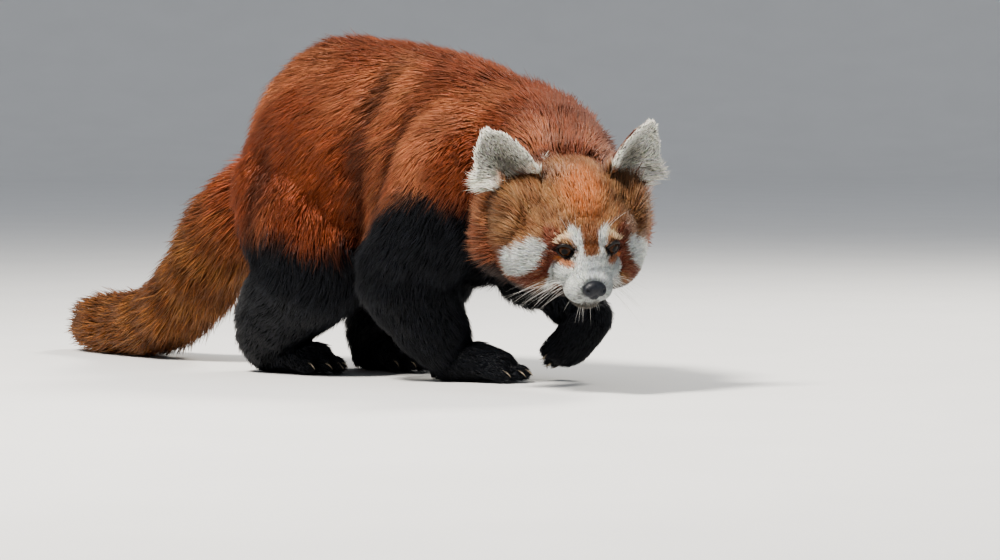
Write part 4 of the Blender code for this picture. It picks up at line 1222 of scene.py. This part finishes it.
# ---- nose
def noseFinish():
    finish = Finish("noseLeather", Coat_Weight=0.08, Coat_Roughness=0.3, Specular_IOR_Level=0.28)
    cells = finish.node("ShaderNodeTexVoronoi", {"feature": "DISTANCE_TO_EDGE"},
                        {"Vector": finish.place, "Scale": 1500.0})
    grain = finish.noise(500.0, 3.0)
    tone = finish.ramp(grain, ((0.3, (0.006, 0.007, 0.010, 1)), (0.7, (0.016, 0.018, 0.024, 1))))
    return finish.feed(Base_Color=tone, Roughness=grain * 0.2 + 0.34, Normal=finish.bump(cells, 0.35, 0.0004))


noseRows = [{"centre": fromHead(row[:3]), "half": np.array(row[3:]), "turn": headTurn} for row in nose["forms"]]
noseObject = fused("nosePad", noseRows, 0.0005, 5)
spots, away = meshPoints(noseObject.data), meshPoints(noseObject.data, "vector")
q = toHead(spots)
for side in (1, -1):
    pit = polylineDistance(q, [np.array((0.0850 - 0.0030 * t, (0.0040 + 0.0018 * t) * side, -0.0125 + 0.0006 * t * t))
                               for t in (0, 1, 2)])
    spots -= away * (0.0019 * ease(nose["nostril"] + 0.0006, 0.0005, pit))[:, None]
spots -= away * (0.0004 * ease(0.0009, 0.0002, np.abs(q[:, 1])) * ease(-0.0115, -0.0135, q[:, 2]))[:, None]
noseObject.data.vertices.foreach_set("co", spots.astype(np.float32).ravel())
noseObject.data.materials.clear()
noseObject.data.materials.append(noseFinish())
finished(noseObject)
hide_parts("nose")
print("nose set,", len(spots), "points")


# ---- whiskers and claws: one Geometry Nodes tree makes every tapered rod
def rodTree():
    tree = bpy.data.node_groups.new("taperedRods", "GeometryNodeTree")
    for name, kind in (("Geometry", "Geometry"), ("Sides", "Int"), ("Thickness", "Float"), ("Finish", "Material")):
        tree.interface.new_socket(name, in_out="INPUT", socket_type="NodeSocket" + kind)
    tree.interface.new_socket("Geometry", in_out="OUTPUT", socket_type="NodeSocketGeometry")
    nodes = {name: tree.nodes.new(kind) for name, kind in (
        ("start", "NodeGroupInput"), ("end", "NodeGroupOutput"), ("curve", "GeometryNodeMeshToCurve"),
        ("named", "GeometryNodeInputNamedAttribute"), ("times", "ShaderNodeMath"),
        ("radius", "GeometryNodeSetCurveRadius"), ("circle", "GeometryNodeCurvePrimitiveCircle"),
        ("solid", "GeometryNodeCurveToMesh"), ("real", "GeometryNodeRealizeInstances"),
        ("coated", "GeometryNodeSetMaterial"))}
    nodes["named"].data_type, nodes["times"].operation = "FLOAT", "MULTIPLY"
    nodes["named"].inputs["Name"].default_value = "thick"
    nodes["circle"].inputs["Radius"].default_value = 1.0
    nodes["solid"].inputs["Fill Caps"].default_value = True
    links = [
        ("start", "Geometry", "curve", "Mesh"), ("named", "Attribute", "times", 0),
        ("start", "Thickness", "times", 1),
        ("curve", "Curve", "radius", "Curve"), ("times", 0, "radius", "Radius"),
        ("start", "Sides", "circle", "Resolution"), ("radius", "Curve", "solid", "Curve"),
        ("circle", "Curve", "solid", "Profile Curve"), ("solid", "Mesh", "real", "Geometry"),
        ("real", "Geometry", "coated", "Geometry"), ("start", "Finish", "coated", "Material"),
        ("coated", "Geometry", "end", "Geometry"),
    ]
    if "Scale" in nodes["solid"].inputs:
        links.append(("times", 0, "solid", "Scale"))
    for source, output, goal, slot in links:
        tree.links.new(nodes[source].outputs[output], nodes[goal].inputs[slot])
    return tree


rods = rodTree()


def rodPiece(name, paths, thickness, sides, material):
    points, edgeRows, thick = [], [], []
    for path, widths in paths:
        edgeRows += [(len(points) + i, len(points) + i + 1) for i in range(len(path) - 1)]
        points += [tuple(spot) for spot in path]
        thick += list(widths)
    mesh = bpy.data.meshes.new(name)
    mesh.from_pydata(points, edgeRows, [])
    numberAttribute(mesh, "thick", thick)
    obj = newObject(name, mesh)
    modifier = obj.modifiers.new("Rods", "NODES")
    modifier.node_group = rods
    identifiers = {item.name: item.identifier for item in rods.interface.items_tree if item.in_out == "INPUT"}
    modifier[identifiers["Sides"]] = sides
    modifier[identifiers["Thickness"]] = thickness
    modifier[identifiers["Finish"]] = material
    made = bpy.data.meshes.new_from_object(obj.evaluated_get(bpy.context.evaluated_depsgraph_get()))
    obj.modifiers.clear()
    obj.data = faced(made)
    softened(obj.data)
    if not made.materials:
        made.materials.append(material)
    return finished(obj)


def paleFinish(name, low, high, roughness):
    finish = Finish(name, Specular_IOR_Level=0.5)
    grain = finish.noise(160.0, 3.0)
    tone = finish.ramp(grain, ((0.3, low), (0.7, high)))
    return finish.feed(Base_Color=tone, Roughness=grain * 0.15 + roughness)


clawPaths = []
for pawFrame, root, tip in toeTips:
    turn = pawFrame.to_3x3()
    ahead = turn @ (tip - root)
    up = (turn @ Vector((0, 0, 1))).normalized()
    ahead = (ahead - up * ahead.dot(up)).normalized()
    spot = pawFrame @ (tip + Vector((-claws["sunk"], 0, 0.0010)))
    path, widths, steps = [spot], [1.0], claws["steps"]
    for i in range(steps):
        angle = radians(claws["rise"] - claws["curl"] * i / (steps - 1))
        spot = spot + (ahead * cos(angle) + up * sin(angle)) * (claws["length"] + claws["sunk"]) / steps
        path.append(spot)
        widths.append(max(0.03, 1.0 - ((i + 1) / steps) ** 1.6))
    clawPaths.append((path, widths))
clawObject = rodPiece("claws", clawPaths, claws["thickness"], claws["sides"],
                      paleFinish("clawHorn", (0.30, 0.24, 0.17, 1), (0.52, 0.45, 0.34, 1), 0.28))

whiskers = {"rows": 4, "each": 6, "back": 0.0032, "down": 0.0034, "stray": 0.0006, "length": 0.056,
            "thickness": 0.00014, "chin": 10, "brow": 3}
draw = np.random.default_rng(seeds["whiskers"])
whiskerPaths = []


def whisker(place, way, length, sag):
    steps = 9
    spot, path = np.array(skinTree.find_nearest(Vector(fromHead(place)))[0]), []
    way = unit(headTurn @ np.array(way, float))
    for i in range(steps):
        path.append(spot)
        way = unit(way + np.array((0, 0, -sag / steps)))
        spot = spot + way * length / (steps - 1)
    widths = [max(0.08, 1 - (i / (steps - 1)) ** 1.3) for i in range(steps)]
    whiskerPaths.append((path, widths))


for side in (1, -1):
    for row in range(whiskers["rows"]):
        for i in range(whiskers["each"]):
            ahead = 0.056 - whiskers["back"] * i + draw.normal() * whiskers["stray"]
            low = -0.0125 - whiskers["down"] * row + draw.normal() * whiskers["stray"]
            way = (-0.25 + draw.normal() * 0.18, side * 1.0, -0.25 - 0.20 * row + draw.normal() * 0.15)
            whisker((ahead, (0.0175 + 0.0012 * i) * side, low), way,
                    whiskers["length"] * draw.uniform(0.45, 1.05), draw.uniform(0.2, 0.7))
for i in range(whiskers["chin"]):
    y = draw.uniform(-0.013, 0.013)
    place = (draw.uniform(0.050, 0.066), y, -0.036)
    whisker(place, (0.35 + draw.normal() * 0.3, y * 40, -1.0), draw.uniform(0.007, 0.017), 0.2)
for side in (1, -1):
    for i in range(whiskers["brow"]):
        place = (0.046 - 0.002 * i, (0.012 + 0.003 * i) * side, 0.028)
        whisker(place, (0.25, side * (0.2 + 0.15 * i), 1.0), draw.uniform(0.018, 0.030), 0.5)
whiskerObject = rodPiece("whiskers", whiskerPaths, whiskers["thickness"], 5,
                         paleFinish("whiskerHair", (0.62, 0.60, 0.56, 1), (0.80, 0.78, 0.74, 1), 0.32))
print("claws and whiskers set")


# ---- floor, light and camera
studio = {"reach": 13.0, "flat": 9.0, "wall": 8.0, "floor": (0.74, 0.735, 0.72)}
view = {"azimuth": 40.0, "elevation": 2.5, "distance": 3.5, "perCentimetre": 11.3, "middle": 388.0, "ground": 374.0}


def studioBowl():
    profile = [(0.0, 0.0), (studio["flat"] / 2, 0.0), (studio["flat"], 0.0)]
    bend = studio["reach"] - studio["flat"]
    for i in range(1, 13):
        angle = pi / 2 * i / 12
        profile.append((studio["flat"] + bend * sin(angle), bend * (1 - cos(angle))))
    profile.append((studio["reach"], studio["wall"]))
    around, points = 96, [(0.0, 0.0, 0.0)]
    for radius, height in profile[1:]:
        turns = [2 * pi * i / around for i in range(around)]
        points += [(radius * cos(turn), radius * sin(turn), height) for turn in turns]
    faces = [(0, 1 + i, 1 + (i + 1) % around) for i in range(around)] + hoopFaces(len(profile) - 1, around, 1)
    bowl = newObject("studioFloor", arrayMesh("studioFloor", np.array(points), np.array(faces)))
    finish = Finish("studioPale", Specular_IOR_Level=0.2)
    grain = finish.noise(6.0, 2.0)
    low, high = (np.array(studio["floor"]) * share for share in (0.985, 1.015))
    tone = finish.ramp(grain, ((0.3, (*low, 1)), (0.7, (*high, 1))))
    bowl.data.materials.append(finish.feed(Base_Color=tone, Roughness=grain * 0.1 + 0.75))


studioBowl()
azimuth, elevation = radians(view["azimuth"]), radians(view["elevation"])
back = Vector((sin(azimuth) * cos(elevation), -cos(azimuth) * cos(elevation), sin(elevation)))
right = Vector((cos(azimuth), sin(azimuth), 0))
perMetre = view["perCentimetre"] * 100
target = right * (500 - view["middle"]) / perMetre + Vector((0, 0, (view["ground"] - 280) / perMetre)) + Vector(home)
camera = bpy.data.objects.new("camera", bpy.data.cameras.new("camera"))
bpy.context.scene.collection.objects.link(camera)
camera.data.sensor_width = 36
camera.data.lens = perMetre * 36 * view["distance"] / 1000
camera.location = target + back * view["distance"]
camera.rotation_euler = (-back).to_track_quat("-Z", "Y").to_euler()
bpy.context.scene.camera = camera


def lamp(name, place, energy, colour, size):
    data = bpy.data.lights.new(name, "AREA")
    data.energy, data.color, data.shape, data.size = energy, colour, "DISK", size
    obj = bpy.data.objects.new(name, data)
    bpy.context.scene.collection.objects.link(obj)
    spot = right * place[0] + back * place[1] + Vector((0, 0, place[2]))
    obj.location = target + spot
    obj.rotation_euler = spot.to_track_quat("Z", "Y").to_euler()


# places are across the picture, toward the camera and up
lamp("keyLight", (-1.1, 1.1, 2.2), 130.0, (1.0, 0.95, 0.88), 0.6)
lamp("fillLight", (2.2, 1.6, 0.9), 18.0, (0.90, 0.95, 1.0), 1.8)
lamp("rimLight", (1.0, -1.3, 1.9), 45.0, (1.0, 0.95, 0.86), 0.7)
world = bpy.data.worlds.new("softRoom")
world.use_nodes = True
world.node_tree.nodes["Background"].inputs["Color"].default_value = (0.86, 0.91, 1.0, 1)
world.node_tree.nodes["Background"].inputs["Strength"].default_value = 0.50
bpy.context.scene.world = world
bpy.context.scene.view_settings.look = "AgX - Medium High Contrast"
print("floor, light and camera set")
